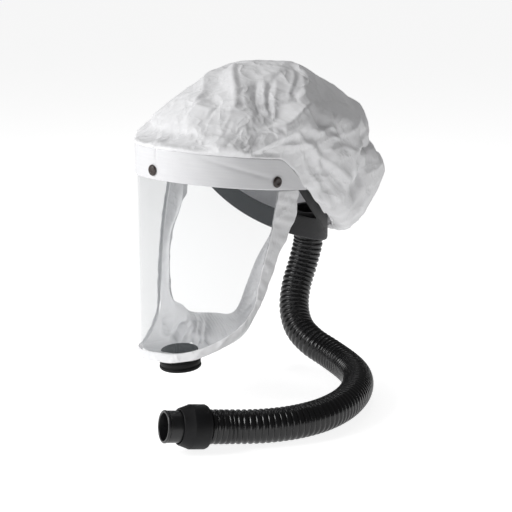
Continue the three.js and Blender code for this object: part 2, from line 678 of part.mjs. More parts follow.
const foldLines = CROWN_FOLDS.map((row) => ({
  row,
  line: Array.from({ length: FOLD_POINTS }, (_, k) => {
    const share = k / (FOLD_POINTS - 1);
    const angle = row.startAngle + share * (row.endAngle - row.startAngle);
    return crownPoint(angle, row.start + share * (row.end - row.start));
  }),
}));
const valveCentre = new THREE.Vector3(0, VALVE_Y, VALVE_Z);
const valveAxis = new THREE.Vector3(0, Math.sin(-VALVE_TILT * DEGREE), Math.cos(VALVE_TILT * DEGREE));
const hosePoints = HOSE_ROUTE.map((point) => new THREE.Vector3(...point));
const hoseLine = new THREE.CatmullRomCurve3(hosePoints);
const hoseEnd = hoseLine.getTangentAt(1);
const cuffPlace = hosePoints.at(-1).clone().addScaledVector(hoseEnd, GAP);
const inletAxis = hoseLine.getTangentAt(0);
const inletCentre = hosePoints[0].clone().addScaledVector(inletAxis, -INLET_OUTSIDE - GAP);

add('hood_crown', crownGeometry(), WHITE_CLOTH);
add('brow_band', bandGeometry(), BAND_CLOTH);
add('visor', visorGeometry(), CLEAR_SHEET);
add('visor_binding', bindingGeometry(), WHITE_CLOTH);
add('face_seal', sealGeometry(), WHITE_CLOTH);
add('nape_strap', strapGeometry(), STRAP_WEB);
add('stud_front', studGeometry(0, STUD_FRONT_Z), STUD_DARK);
add('stud_left', studGeometry(STUD_SIDE_ANGLE, STUD_SIDE_Z), STUD_DARK);
add('stud_right', studGeometry(-STUD_SIDE_ANGLE, STUD_SIDE_Z), STUD_DARK);
add('valve_body', valveBodyGeometry(), BLACK_RUBBER);
add('valve_insert', valveInsertGeometry(), BLACK_RUBBER);
add('hose_inlet', inletGeometry(), BLACK_RUBBER);
add('hose', hoseGeometry(), BLACK_GLOSS);
add('hose_cuff', cuffGeometry(), BLACK_RUBBER);
add('hose_plug', plugGeometry(), BLACK_RUBBER);

export default hood;
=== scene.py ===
"""Looks of a disposable respirator hood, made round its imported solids.

The gathered crown, the brow band, the visor with its binding, the face seal, the nape strap, the press
studs, the chin valve and the breathing hose each have a class that holds their sizes. Sizes are in
millimetres in the part's own frame, with +X to the wearer's left and -Y the way the face looks. Meshes
are made in metres.
"""

import logging
import math
from dataclasses import dataclass
from enum import Enum
from typing import NamedTuple, Optional, Sequence

import bmesh
import bpy
import numpy as np
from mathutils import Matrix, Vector


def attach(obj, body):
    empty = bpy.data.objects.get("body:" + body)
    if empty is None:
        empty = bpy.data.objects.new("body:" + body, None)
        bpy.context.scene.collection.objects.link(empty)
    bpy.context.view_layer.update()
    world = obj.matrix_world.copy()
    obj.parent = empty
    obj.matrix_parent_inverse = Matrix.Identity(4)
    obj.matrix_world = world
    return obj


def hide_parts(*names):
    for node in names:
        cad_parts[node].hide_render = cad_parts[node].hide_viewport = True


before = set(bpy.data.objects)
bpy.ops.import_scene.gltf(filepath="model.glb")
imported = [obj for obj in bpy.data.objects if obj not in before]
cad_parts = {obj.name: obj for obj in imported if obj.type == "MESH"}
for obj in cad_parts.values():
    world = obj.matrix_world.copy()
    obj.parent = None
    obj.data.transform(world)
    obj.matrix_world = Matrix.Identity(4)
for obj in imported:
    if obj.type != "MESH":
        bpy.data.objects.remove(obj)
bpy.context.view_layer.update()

LOG = logging.getLogger("respirator_hood")
MM = 0.001
ROOT = "root"
WHITE = (1.0, 1.0, 1.0, 1.0)
# Degrees of a full turn, a half, a quarter and an eighth
TURN = 360.0
HALF_TURN = TURN / 2
QUARTER = TURN / 4
EIGHTH = TURN / 8
# Points of the hose's line for each stretch of its route
ROUTE_STEPS = 12
# Power of an ellipse's curve
ELLIPSE = 2.0
# Least size that anything is divided by
SMALL = 0.001
# How the edges of turned pieces are eased
EASE_SEGMENTS = 2
EASE_ANGLE = 25.0
# The sRGB curve: the end of its straight foot, the foot's slope, and the offset and power past it
SRGB_FOOT = 0.04045
SRGB_SLOPE = 12.92
SRGB_OFFSET = 0.055
SRGB_POWER = 2.4
BYTE = 255
# Numbers of a Mix node's colour sockets
MIX_FIRST = 6
MIX_SECOND = 7
MIX_RESULT = 2
# Radians that a Wave texture turns through in one unit, at a scale of 1
WAVE_TURN = 20.0

# Pairs of a radius and a height, or of steps from a radius and a height
Outline = Sequence[tuple[float, float]]


class Slot(Enum):
    """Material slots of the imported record."""

    CLOTH = "spunbond_cloth"
    BAND = "band_cloth"
    VISOR = "visor_sheet"
    STRAP = "strap_webbing"
    STUD = "stud_plastic"
    RUBBER = "moulded_rubber"
    HOSE = "hose_plastic"
    PLUG = "plug_plastic"


class CrownRing(NamedTuple):
    """One level of the crown: front and back with their heights, half width, widest place, squareness."""

    front: float
    front_z: float
    back: float
    back_z: float
    half: float
    mid: float
    square: float


class Fold(NamedTuple):
    """A soft fold of the crown, from one angle and level to another, with its lift and its width."""

    angle: float
    level: float
    end_angle: float
    end_level: float
    lift: float
    width: float


class Crease(NamedTuple):
    """A sharp crease, with its lift and its width.

    Its line goes through angles and levels on the crown, and through places and shares on the face seal.
    A paired one is on both sides.
    """

    lift: float
    width: float
    paired: bool
    line: tuple[tuple[float, float], ...]


class VisorEdge(NamedTuple):
    """A place along the visor's edge: where the sheet and its binding end.

    The turn and the drop are added on the wearer's right.
    """

    angle: float
    z: float
    outer_angle: float
    outer_z: float
    turn: float = 0.0
    drop: float = 0.0


class SealLine(NamedTuple):
    """The face seal at a place along the visor's edge: its elastic edge, and its knee behind the visor."""

    open_x: float
    open_y: float
    open_z: float
    knee_x: float
    knee_y: float
    knee_z: float


class SoftLight(NamedTuple):
    """A square soft light, in metres to the picture's right, towards the camera and up from the object.

    Its side is in metres and its power in watts.
    """

    name: str
    right: float
    near: float
    up: float
    size: float
    power: float


# Levels of the crown from the hem to the top
CROWN_RINGS = (
    CrownRing(-94.8, 45.2, 131.0, -63.0, 85.8, 0.0, 2.5),
    CrownRing(-94.0, 47.5, 148.0, -71.0, 87.0, 4.0, 2.9),
    CrownRing(-86.5, 48.5, 171.0, -52.0, 90.0, 12.0, 3.3),
    CrownRing(-77.0, 50.5, 191.0, -16.0, 94.5, 22.0, 3.6),
    CrownRing(-68.5, 55.5, 185.0, 13.0, 95.5, 30.0, 3.6),
    CrownRing(-62.5, 64.0, 162.0, 36.0, 97.0, 36.0, 3.5),
    CrownRing(-55.5, 71.5, 165.0, 62.0, 91.0, 42.0, 3.1),
    CrownRing(-36.0, 87.5, 150.0, 82.0, 73.0, 46.0, 2.7),
    CrownRing(-8.5, 103.0, 124.0, 99.0, 57.5, 54.0, 2.4),
    CrownRing(13.5, 114.0, 99.0, 110.0, 40.0, 57.0, 2.2),
    CrownRing(37.0, 118.0, 79.0, 117.0, 19.5, 58.0, 2.0),
    CrownRing(58.0, 118.5, 58.0, 118.5, 0.0, 58.0, 2.0),
)

# Main folds of the crown, round it from the brow
CROWN_FOLDS = (
    Fold(2, 0.69, 18, 0.64, -6.0, 13.0),
    Fold(14, 0.4, 40, 0.28, 4.0, 16.0),
    Fold(6, 0.06, 4, 0.45, -2.5, 8.0),
    Fold(-50, 0.88, 30, 0.67, -3.0, 9.0),
    Fold(130, 0.86, 84, 0.6, 3.5, 14.0),
    Fold(42, 0.78, 64, 0.6, -6.0, 24.0),
    Fold(47, 0.16, 78, 0.56, 5.0, 13.0),
    Fold(66, 0.16, 80, 0.36, -5.0, 15.0),
    Fold(86, 0.42, 112, 0.17, -3.5, 11.0),
    Fold(96, 0.3, 128, 0.13, 3.0, 12.0),
    Fold(95, 0.52, 112, 0.44, -5.0, 11.0),
    Fold(127, 0.44, 121, 0.22, -6.0, 10.0),
    Fold(-46, 0.76, -70, 0.58, -2.0, 24.0),
    Fold(-52, 0.2, -84, 0.52, 5.0, 13.0),
    Fold(-88, 0.4, -114, 0.18, -5.0, 11.0),
    Fold(-130, 0.42, -124, 0.22, -5.0, 10.0),
    Fold(176, 0.74, 188, 0.46, -5.0, 12.0),
    Fold(152, 0.62, 160, 0.3, 4.0, 13.0),
    Fold(152, 0.62, 130, 0.57, -4.5, 13.0),
    Fold(152, 0.4, 136, 0.38, -3.0, 9.0),
)

# Sharp creases of the crown: brow, front panel, top, side above the band, and rear
CROWN_CREASES = (
    Crease(1.8, 5.0, False, ((3, 0.1), (-1, 0.36))),
    Crease(1.6, 5.0, False, ((3, 0.1), (10, 0.36))),
    Crease(1.6, 5.0, False, ((3, 0.1), (-10, 0.38))),
    Crease(1.4, 5.0, False, ((4, 0.1), (19, 0.34))),
    Crease(3.5, 7.0, False, ((3, 0.61), (-9, 0.7), (-58, 0.79))),
    Crease(3.0, 6.0, False, ((3, 0.61), (22, 0.6))),
    Crease(3.8, 8.0, False, ((-36, 0.88), (-4, 0.84), (21, 0.74), (34, 0.65), (36, 0.6))),
    Crease(-1.2, 3.0, False, ((-14, 0.9), (10, 0.83), (29, 0.73), (40, 0.64), (42, 0.6))),
    Crease(-2.4, 5.0, True, ((44, 0.77), (46, 0.71), (52, 0.63), (54, 0.58))),
    Crease(1.2, 2.4, True, ((52, 0.78), (54, 0.73), (59, 0.62), (61, 0.58))),
    Crease(-1.4, 2.4, True, ((59, 0.76), (60, 0.71), (62, 0.6))),
    Crease(1.1, 2.4, True, ((66, 0.78), (66, 0.72), (66, 0.62), (63, 0.57))),
    Crease(1.3, 2.2, False, ((99, 0.83), (80, 0.7), (78, 0.63))),
    Crease(-0.6, 2.0, False, ((105, 0.81), (84, 0.7), (82, 0.64))),
    Crease(2.4, 6.0, False, ((122, 0.85), (97, 0.74), (91, 0.66), (91, 0.56))),
    Crease(2.8, 4.5, True, ((63, 0.44), (75, 0.53), (82, 0.57), (95, 0.61))),
    Crease(2.6, 4.0, True, ((50, 0.42), (53, 0.28), (60, 0.06))),
    Crease(-1.2, 4.5, True, ((43, 0.46), (43, 0.31), (51, 0.08))),
    Crease(-2.6, 3.6, True, ((63, 0.06), (56, 0.27), (55, 0.41), (66, 0.45), (77, 0.5))),
    Crease(-1.8, 4.0, True, ((46, 0.47), (55, 0.5), (66, 0.56))),
    Crease(3.0, 4.0, True, ((64, 0.05), (65, 0.3), (73, 0.39), (80, 0.42), (92, 0.3), (102, 0.21))),
    Crease(-2.2, 5.0, False, ((70, 0.16), (74, 0.32), (86, 0.34))),
    Crease(-2.8, 3.2, True, ((92, 0.38), (99, 0.27), (102, 0.26), (104, 0.31), (106, 0.4))),
    Crease(2.4, 2.6, True, ((100, 0.24), (106, 0.33), (110, 0.36), (117, 0.35))),
    Crease(2.2, 2.6, True, ((94, 0.42), (103, 0.49), (112, 0.47))),
    Crease(1.8, 2.2, False, ((98, 0.34), (104, 0.42), (109, 0.41))),
    Crease(2.0, 3.0, False, ((130, 0.58), (117, 0.48), (108, 0.45))),
    Crease(-2.2, 3.6, False, ((107, 0.59), (106, 0.52), (111, 0.45))),
    Crease(2.8, 3.0, True, ((96, 0.27), (99, 0.23), (105, 0.23), (114, 0.23), (120, 0.22))),
    Crease(-2.0, 2.6, True, ((101, 0.22), (106, 0.205), (113, 0.2), (120, 0.18))),
    Crease(2.6, 3.0, True, ((98, 0.24), (102, 0.2), (106, 0.18), (117, 0.15), (122, 0.12))),
    Crease(2.4, 3.0, True, ((98, 0.16), (102, 0.12), (107, 0.12), (126, 0.07))),
    Crease(3.2, 3.2, True, ((142, 0.5), (129, 0.45), (117, 0.37), (115, 0.3), (118, 0.25), (126, 0.2))),
    Crease(-4.6, 4.2, True, ((148, 0.46), (133, 0.42), (122, 0.37), (120, 0.3), (123, 0.25), (130, 0.22))),
    Crease(-1.5, 7.0, False, ((150, 0.8), (142, 0.62), (136, 0.52))),
    Crease(-2.5, 6.0, False, ((196, 0.62), (206, 0.42), (204, 0.28))),
    Crease(2.5, 6.0, False, ((170, 0.4), (178, 0.24), (174, 0.12))),
)

# The visor's edge from the temple to the chin
VISOR_EDGE = (
    VisorEdge(91.0, -0.8, 102.5, -3.2, 0.0, 0.0),
    VisorEdge(88.0, -22.0, 101.0, -25.0, 0.0, 0.0),
    VisorEdge(84.5, -46.0, 96.5, -48.0, 0.0, 0.0),
    VisorEdge(79.5, -71.0, 88.0, -73.0, 2.5, 1.0),
    VisorEdge(75.2, -96.0, 81.0, -98.0, 4.8, 4.0),
    VisorEdge(71.5, -119.0, 74.0, -121.0, 7.0, 9.0),
    VisorEdge(61.0, -139.0, 62.0, -145.0, 14.5, 20.0),
    VisorEdge(41.5, -157.0, 41.5, -165.0, 16.5, 24.0),
    VisorEdge(20.0, -168.0, 20.0, -176.0, 7.0, 9.0),
    VisorEdge(0.0, -171.5, 0.0, -179.0, 0.0, 0.0),
)

# The face seal at the same places
SEAL_LINES = (
    SealLine(78.0, 15.0, -6.0, 81.0, 9.0, -4.0),
    SealLine(75.0, 11.0, -22.0, 80.0, 6.0, -22.0),
    SealLine(71.0, 2.0, -46.0, 78.0, 2.0, -47.0),
    SealLine(67.0, -13.0, -69.0, 75.5, -7.0, -72.0),
    SealLine(62.0, -23.0, -96.0, 72.0, -14.0, -100.0),
    SealLine(54.0, -29.0, -121.0, 66.0, -17.0, -128.0),
    SealLine(43.0, -32.0, -131.0, 56.0, -21.0, -150.0),
    SealLine(29.0, -38.0, -133.0, 41.0, -29.0, -163.0),
    SealLine(14.0, -45.0, -133.0, 20.0, -34.0, -169.0),
    SealLine(0.0, -49.0, -132.0, 0.0, -35.0, -170.0),
)

# Folds of the face seal round the chin, through places along the visor's edge and shares of its width
SEAL_CREASES = (
    Crease(6.0, 3.4, False, ((-0.05, 0.95), (-0.18, 0.73), (-0.2, 0.56), (-0.18, 0.4), (-0.15, 0.29))),
    Crease(5.4, 3.0, False, ((0.02, 0.96), (-0.11, 0.71), (-0.12, 0.55), (-0.1, 0.42), (-0.08, 0.34))),
    Crease(5.0, 2.8, False, ((0.04, 0.94), (-0.07, 0.68), (-0.06, 0.5), (-0.02, 0.37))),
    Crease(5.0, 3.0, False, ((0.1, 0.97), (0.02, 0.74), (0.03, 0.55), (0.05, 0.39))),
    Crease(4.6, 3.4, False, ((0.13, 0.95), (0.07, 0.73), (0.07, 0.55), (0.08, 0.42))),
    Crease(-6.0, 5.0, False, ((-0.15, 0.62), (-0.15, 0.45), (-0.12, 0.34))),
    Crease(4.5, 3.4, False, ((-0.3, 0.15), (-0.22, 0.22), (-0.17, 0.28))),
    Crease(-2.5, 4.0, False, ((-0.28, 0.4), (-0.22, 0.33))),
    Crease(-2.5, 2.5, False, ((-0.56, 0.1), (-0.58, 0.5))),
    Crease(-2.0, 2.5, False, ((-0.65, 0.1), (-0.66, 0.6))),
    Crease(2.0, 3.5, False, ((-0.46, 0.1), (-0.44, 0.6))),
    Crease(2.5, 4.0, False, ((0.31, 0.94), (0.44, 0.84), (0.52, 0.62))),
    Crease(-2.0, 4.0, False, ((0.22, 0.85), (0.2, 0.5))),
)

# The hose's route along its middle, from the inlet under the nape to the cuff
HOSE_ROUTE = (
    (-24.0, 155.5, -77.0),
    (-26.0, 157.0, -95.0),
    (-29.0, 152.0, -120.0),
    (-28.0, 140.0, -146.0),
    (-20.0, 129.0, -169.0),
    (-4.0, 121.0, -186.0),
    (18.0, 118.0, -197.0),
    (44.0, 120.0, -206.0),
    (73.0, 114.0, -211.0),
    (98.0, 101.0, -212.0),
    (119.0, 84.0, -212.0),
    (138.0, 62.0, -212.0),
    (153.0, 38.0, -212.0),
    (165.0, 9.0, -212.0),
    (171.0, -25.0, -212.0),
    (168.0, -56.0, -212.0),
    (160.0, -78.0, -212.0),
    (150.0, -97.0, -211.5),
    (136.1, -117.9, -210.3),
    (131.6, -128.9, -208.8),
    (127.2, -139.9, -207.2),
)


def linear_color(code: str) -> tuple[float, float, float, float]:
    """Turns an sRGB hex colour to linear values.

    Args:
        code: six hex digits.

    Returns:
        Red, green, blue and an alpha of 1.
    """
    shares = [value / BYTE for value in bytes.fromhex(code)]
    curved = [((s + SRGB_OFFSET) / (1 + SRGB_OFFSET)) ** SRGB_POWER for s in shares]
    linear = [s / SRGB_SLOPE if s <= SRGB_FOOT else c for s, c in zip(shares, curved)]
    return (*linear, 1.0)


def set_inputs(tree: bpy.types.NodeTree, node: bpy.types.Node, inputs: dict) -> None:
    """Sets or links a node's inputs.

    Args:
        tree: the node tree.
        node: the node.
        inputs: input names or numbers, each with a value or with a socket to link.
    """
    for key, value in inputs.items():
        if isinstance(value, bpy.types.NodeSocket):
            tree.links.new(value, node.inputs[key])
        else:
            node.inputs[key].default_value = value


def add_node(tree: bpy.types.NodeTree, kind: str, settings: Optional[dict] = None,
             inputs: Optional[dict] = None) -> bpy.types.Node:
    """Adds a node with its settings and links.

    Args:
        tree: the node tree.
        kind: the node's type name.
        settings: attribute names and values.
        inputs: input names or numbers, each with a value or with a socket to link.

    Returns:
        The new node.
    """
    node = tree.nodes.new(kind)
    for key, value in (settings or {}).items():
        setattr(node, key, value)
    set_inputs(tree, node, inputs or {})
    return node


def new_material(name: str) -> tuple[bpy.types.Material, bpy.types.NodeTree, bpy.types.Node]:
    """Starts a material.

    Args:
        name: the material's name.

    Returns:
        The material, its node tree and its shader.
    """
    made = bpy.data.materials.new(name)
    made.use_nodes = True
    return made, made.node_tree, made.node_tree.nodes["Principled BSDF"]


def smooth_step(f: float | np.ndarray, start: np.ndarray, end: np.ndarray, rise: np.ndarray,
                fall: np.ndarray) -> np.ndarray:
    """Places on the smooth line between two points.

    Args:
        f: shares of the way.
        start: the first point.
        end: the second point.
        rise: how the line leaves the first point.
        fall: how it comes to the second point.

    Returns:
        The places.
    """
    square = f * f
    cube = square * f
    return ((2 * cube - 3 * square + 1) * start + (cube - 2 * square + f) * rise
            + (3 * square - 2 * cube) * end + (cube - square) * fall)


def smooth_rows(rows: Sequence[Sequence[float]], shares: np.ndarray) -> np.ndarray:
    """Reads a table at shares of its length, on smooth lines through its rows.

    Args:
        rows: the table.
        shares: places from 0, the first row, to 1, the last.

    Returns:
        An array with a row of values for each place.
    """
    table = np.array([tuple(row) for row in rows], float)
    last = len(table) - 1
    span = np.clip(np.asarray(shares, float), 0.0, 1.0) * last
    index = np.minimum(np.floor(span).astype(int), last - 1)
    f = (span - index)[..., None]
    a, b, c, d = (table[np.clip(index + step, 0, last)] for step in (-1, 0, 1, 2))
    return smooth_step(f, b, c, (c - a) / 2, (d - b) / 2)


def plan_points(ring: CrownRing, angle: np.ndarray,
                offset: float | np.ndarray = 0.0) -> tuple[np.ndarray, np.ndarray]:
    """Plan points of a ring: an ellipse in front and a squarer curve behind.

    Args:
        ring: the ring, whose fields may be arrays.
        angle: degrees, 0 at the front and 90 at the left temple.
        offset: how far outside the ring.

    Returns:
        Arrays of x and y.
    """
    s = np.sin(np.radians(angle))
    c = np.cos(np.radians(angle))
    power = np.where(c >= 0, ELLIPSE, ring.square)
    reach = (np.abs(s) ** power + np.abs(c) ** power) ** (-1 / power)
    length = np.where(c >= 0, ring.mid - ring.front, ring.back - ring.mid)
    return (ring.half + offset) * s * reach, ring.mid - (length + offset) * c * reach


@dataclass(frozen=True)
class HoodOutline:
    """The plan outline that the visor, the band, the binding and the strap share, and the lines on it."""

    ring: CrownRing = CrownRing(-93.0, 0.0, 130.0, 0.0, 84.0, 0.0, 2.5)
    band_height: float = 33.0
    band_rise: float = 0.13
    hem_ease: float = 25.0
    hem_drop: float = 105.0
    hem_length: float = 75.0

    def points(self, angle: np.ndarray, z: np.ndarray, offset: float | np.ndarray = 0.0) -> np.ndarray:
        """Points at angles and heights, offset outwards from the outline."""
        x, y = plan_points(self.ring, angle, offset)
        return np.stack(np.broadcast_arrays(x, y, z), axis=-1)

    def depth(self, angle: np.ndarray) -> np.ndarray:
        """Y of the outline at angles."""
        return plan_points(self.ring, angle)[1]

    def band_foot(self, y: np.ndarray) -> np.ndarray:
        """Height of the band's lower edge."""
        return -self.band_rise * y

    def hem_height(self, y: np.ndarray) -> np.ndarray:
        """Height of the crown's hem: the band's top, then the fall to the nape.

        Args:
            y: places from front to back.

        Returns:
            A height for each place.
        """
        past = np.maximum(0.0, y)
        eased = past * past / (past + self.hem_ease)
        return self.band_foot(y) + self.band_height - self.hem_drop * (1 - np.exp(-eased / self.hem_length))

    def hem_share(self, t: np.ndarray) -> np.ndarray:
        """Share of the hem's fall from the front of a ring to its back.

        Args:
            t: shares of the way, 0 at the front and 1 at the back.

        Returns:
            A share of the fall for each.
        """
        y = self.ring.front + t * (self.ring.back - self.ring.front)
        start = self.hem_height(np.array(self.ring.front))
        end = self.hem_height(np.array(self.ring.back))
        return (start - self.hem_height(y)) / (start - end)


OUTLINE = HoodOutline()


def visor_edge(place: np.ndarray) -> VisorEdge:
    """Reads the visor's edge at places along it.

    Args:
        place: places from -1, the right temple, to 1, the left.

    Returns:
        The edge, with its angles signed and with no turn or drop left to add.
    """
    row = VisorEdge(*smooth_rows(VISOR_EDGE, 1 - np.abs(place)).T)
    right = place < 0
    side = np.sign(place)
    return VisorEdge(side * (row.angle + right * row.turn), row.z - right * row.drop,
                     side * (row.outer_angle + right * row.turn), row.outer_z - right * row.drop)


def link_object(name: str, data: bpy.types.ID) -> bpy.types.Object:
    """Makes an object and puts it in the scene.

    Args:
        name: the object's name.
        data: its mesh, curve, camera or light.

    Returns:
        The object.
    """
    item = bpy.data.objects.new(name, data)
    bpy.context.scene.collection.objects.link(item)
    return item


def new_object(name: str, points: np.ndarray, faces: Sequence[Sequence[int]]) -> bpy.types.Object:
    """Makes a mesh object.

    Args:
        name: the object's name.
        points: its points in millimetres.
        faces: point numbers of each face.

    Returns:
        The object, in the scene.
    """
    mesh = bpy.data.meshes.new(name)
    mesh.from_pydata((np.asarray(points).reshape(-1, 3) * MM).tolist(), [], [list(face) for face in faces])
    mesh.update()
    return link_object(name, mesh)


def grid_object(name: str, grid: np.ndarray) -> bpy.types.Object:
    """Makes an open sheet from rows of points, with a UV map in metres along its rows and columns.

    Args:
        name: the object's name.
        grid: an array of rows, columns and xyz in millimetres.

    Returns:
        The object.
    """
    rows, columns = grid.shape[:2]
    number = np.arange(rows * columns).reshape(rows, columns)
    corners = (number[:-1, :-1], number[:-1, 1:], number[1:, 1:], number[1:, :-1])
    faces = np.stack(corners, axis=-1).reshape(-1, 4)
    piece = new_object(name, grid, faces)
    along = np.linalg.norm(np.diff(grid[rows // 2], axis=0), axis=1)
    across = np.linalg.norm(np.diff(grid[:, columns // 2], axis=0), axis=1)
    u = np.concatenate([[0.0], np.cumsum(along)]) * MM
    v = np.concatenate([[0.0], np.cumsum(across)]) * MM
    flat = np.stack(np.broadcast_arrays(u[None, :], v[:, None]), axis=-1).reshape(-1, 2)
    layer = piece.data.uv_layers.new(name="flat")
    layer.data.foreach_set("uv", flat[faces.ravel()].ravel())
    return piece


def point_array(piece: bpy.types.Object) -> np.ndarray:
    """Reads the points of a piece's mesh.

    Args:
        piece: the piece.

    Returns:
        Its points in millimetres.
    """
    values = np.zeros(len(piece.data.vertices) * 3)
    piece.data.vertices.foreach_get("co", values)
    return values.reshape(-1, 3) / MM


def set_points(piece: bpy.types.Object, points: np.ndarray) -> None:
    """Moves the points of a piece's mesh to places in millimetres."""
    piece.data.vertices.foreach_set("co", (points * MM).ravel())
    piece.data.update()


def point_normals(piece: bpy.types.Object) -> np.ndarray:
    """Reads the directions square to a piece's mesh at its points.

    Args:
        piece: the piece.

    Returns:
        A direction of length 1 for each point.
    """
    values = np.zeros(len(piece.data.vertices) * 3)
    piece.data.vertex_normals.foreach_get("vector", values)
    return values.reshape(-1, 3)


def settle(piece: bpy.types.Object) -> None:
    """Turns what a piece's modifiers make into its plain mesh.

    Args:
        piece: the piece.
    """
    graph = bpy.context.evaluated_depsgraph_get()
    made = bpy.data.meshes.new_from_object(piece.evaluated_get(graph))
    plain = piece.data
    piece.modifiers.clear()
    piece.data = made
    made.name = piece.name
    bpy.data.meshes.remove(plain)


def thicken(piece: bpy.types.Object, wall: float, levels: int = 1) -> None:
    """Gives an open sheet its wall, half to each side, and rounds it.

    Args:
        piece: the sheet.
        wall: its thickness in millimetres.
        levels: how often the faces are divided.
    """
    solid = piece.modifiers.new("wall", "SOLIDIFY")
    solid.thickness = wall * MM
    solid.offset = 0.0
    solid.use_quality_normals = True
    if levels:
        smooth = piece.modifiers.new("round", "SUBSURF")
        smooth.levels = levels
        smooth.render_levels = levels
    settle(piece)
    piece.data.shade_smooth()


def cut_round(piece: bpy.types.Object, centre: np.ndarray, axis: np.ndarray, radius: float,
              reach: float) -> None:
    """Opens a round hole in a sheet, with the cloth's edge drawn onto the hole's rim.

    Args:
        piece: the sheet.
        centre: a point on the hole's axis.
        axis: the hole's direction.
        radius: the hole's radius.
        reach: how far along the axis the sheet is looked for.
    """
    points = point_array(piece)
    axis = axis / np.linalg.norm(axis)
    rel = points - centre
    along = rel @ axis
    side = rel - along[:, None] * axis
    apart = np.linalg.norm(side, axis=1)
    inside = (apart < radius) & (np.abs(along) < reach)
    work = bmesh.new()
    work.from_mesh(piece.data)
    work.verts.ensure_lookup_table()
    gone = [face for face in work.faces if all(inside[vert.index] for vert in face.verts)]
    drawn = points + np.where(inside, radius / np.maximum(apart, SMALL) - 1, 0.0)[:, None] * side
    for vert in work.verts:
        vert.co = Vector(drawn[vert.index] * MM)
    bmesh.ops.delete(work, geom=gone, context="FACES")
    work.to_mesh(piece.data)
    work.free()
    piece.data.update()


def steps_from(radius: float, height: float, steps: Outline) -> list[tuple[float, float]]:
    """Points of an outline, stepped from a radius and a height."""
    return [(radius + out, height + up) for out, up in steps]


def turned_object(name: str, outline: Outline, place: np.ndarray, axis: np.ndarray, sides: int,
                  ease: float) -> bpy.types.Object:
    """Makes a solid of revolution with its edges eased.

    Args:
        name: the object's name.
        outline: a closed line of radius and height pairs.
        place: where the outline's zero height is.
        axis: the direction of its height.
        sides: how many sides a turn has.
        ease: how wide the eased edges are.

    Returns:
        The object.
    """
    turn = Vector((0.0, 0.0, 1.0)).rotation_difference(Vector(axis)).to_matrix()
    work = bmesh.new()
    rings = []
    for radius, height in outline:
        count = sides if radius > 0 else 1
        angles = np.arange(count) * 2 * math.pi / count
        local = [Vector((radius * math.cos(a), radius * math.sin(a), height)) for a in angles]
        rings.append([work.verts.new((turn @ spot + Vector(place)) * MM) for spot in local])
    for low, high in zip(rings, rings[1:] + rings[:1]):
        if len(low) == 1 and len(high) == 1:
            continue
        for j in range(sides):
            k = (j + 1) % sides
            spots = [low[j % len(low)], low[k % len(low)], high[k % len(high)], high[j % len(high)]]
            work.faces.new(list(dict.fromkeys(spots)))
    bmesh.ops.recalc_face_normals(work, faces=work.faces)
    mesh = bpy.data.meshes.new(name)
    work.to_mesh(mesh)
    work.free()
    piece = link_object(name, mesh)
    edges = piece.modifiers.new("ease", "BEVEL")
    edges.width = ease * MM
    edges.segments = EASE_SEGMENTS
    edges.limit_method = "ANGLE"
    edges.angle_limit = math.radians(EASE_ANGLE)
    edges.harden_normals = False
    settle(piece)
    piece.data.shade_smooth()
    return piece


def join_pieces(piece: bpy.types.Object, others: Sequence[bpy.types.Object]) -> None:
    """Joins other pieces' meshes into a piece.

    Args:
        piece: the piece that stays.
        others: the pieces that go into it.
    """
    work = bmesh.new()
    for part in (piece, *others):
        work.from_mesh(part.data)
    work.to_mesh(piece.data)
    work.free()
    piece.data.shade_smooth()
    for part in others:
        mesh = part.data
        bpy.data.objects.remove(part)
        bpy.data.meshes.remove(mesh)


def finish_piece(piece: bpy.types.Object, material: bpy.types.Material,
                 node: str) -> bpy.types.Object:
    """Gives a finished piece its material and its body, and hides the solid that it replaces.

    Args:
        piece: the piece.
        material: the piece's finish.
        node: name of the solid that it replaces.

    Returns:
        The piece.
    """
    piece.data.materials.clear()
    piece.data.materials.append(material)
    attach(piece, ROOT)
    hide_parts(node)
    LOG.info("%s: %d faces for %s", piece.name, len(piece.data.polygons), node)
    return piece


def mesh_area(piece: bpy.types.Object) -> float:
    """Area of a piece's faces, in square metres."""
    return sum(face.area for face in piece.data.polygons)


def sheet_area(piece: bpy.types.Object) -> float:
    """Area of one face of a thick sheet, in square metres."""
    return mesh_area(piece) / 2


def run_length(line: np.ndarray) -> float:
    """Length of a line through points, in the points' own unit."""
    return float(np.linalg.norm(np.diff(line, axis=0), axis=1).sum())


def line_distance(points: np.ndarray, line: np.ndarray) -> tuple[np.ndarray, np.ndarray]:
    """Distance from points to a bent line.

    Args:
        points: the points.
        line: the line's own points in order.

    Returns:
        A distance for each point, and how far along the line its nearest place is, from 0 to 1.
    """
    nearest = np.full(len(points), np.inf)
    place = np.zeros(len(points))
    for number, (start, end) in enumerate(zip(line[:-1], line[1:])):
        run = end - start
        share = np.clip((points - start) @ run / max(run @ run, SMALL), 0.0, 1.0)
        apart = np.linalg.norm(points - start - share[:, None] * run, axis=1)
        closer = apart < nearest
        nearest = np.where(closer, apart, nearest)
        place = np.where(closer, (number + share) / (len(line) - 1), place)
    return nearest, place


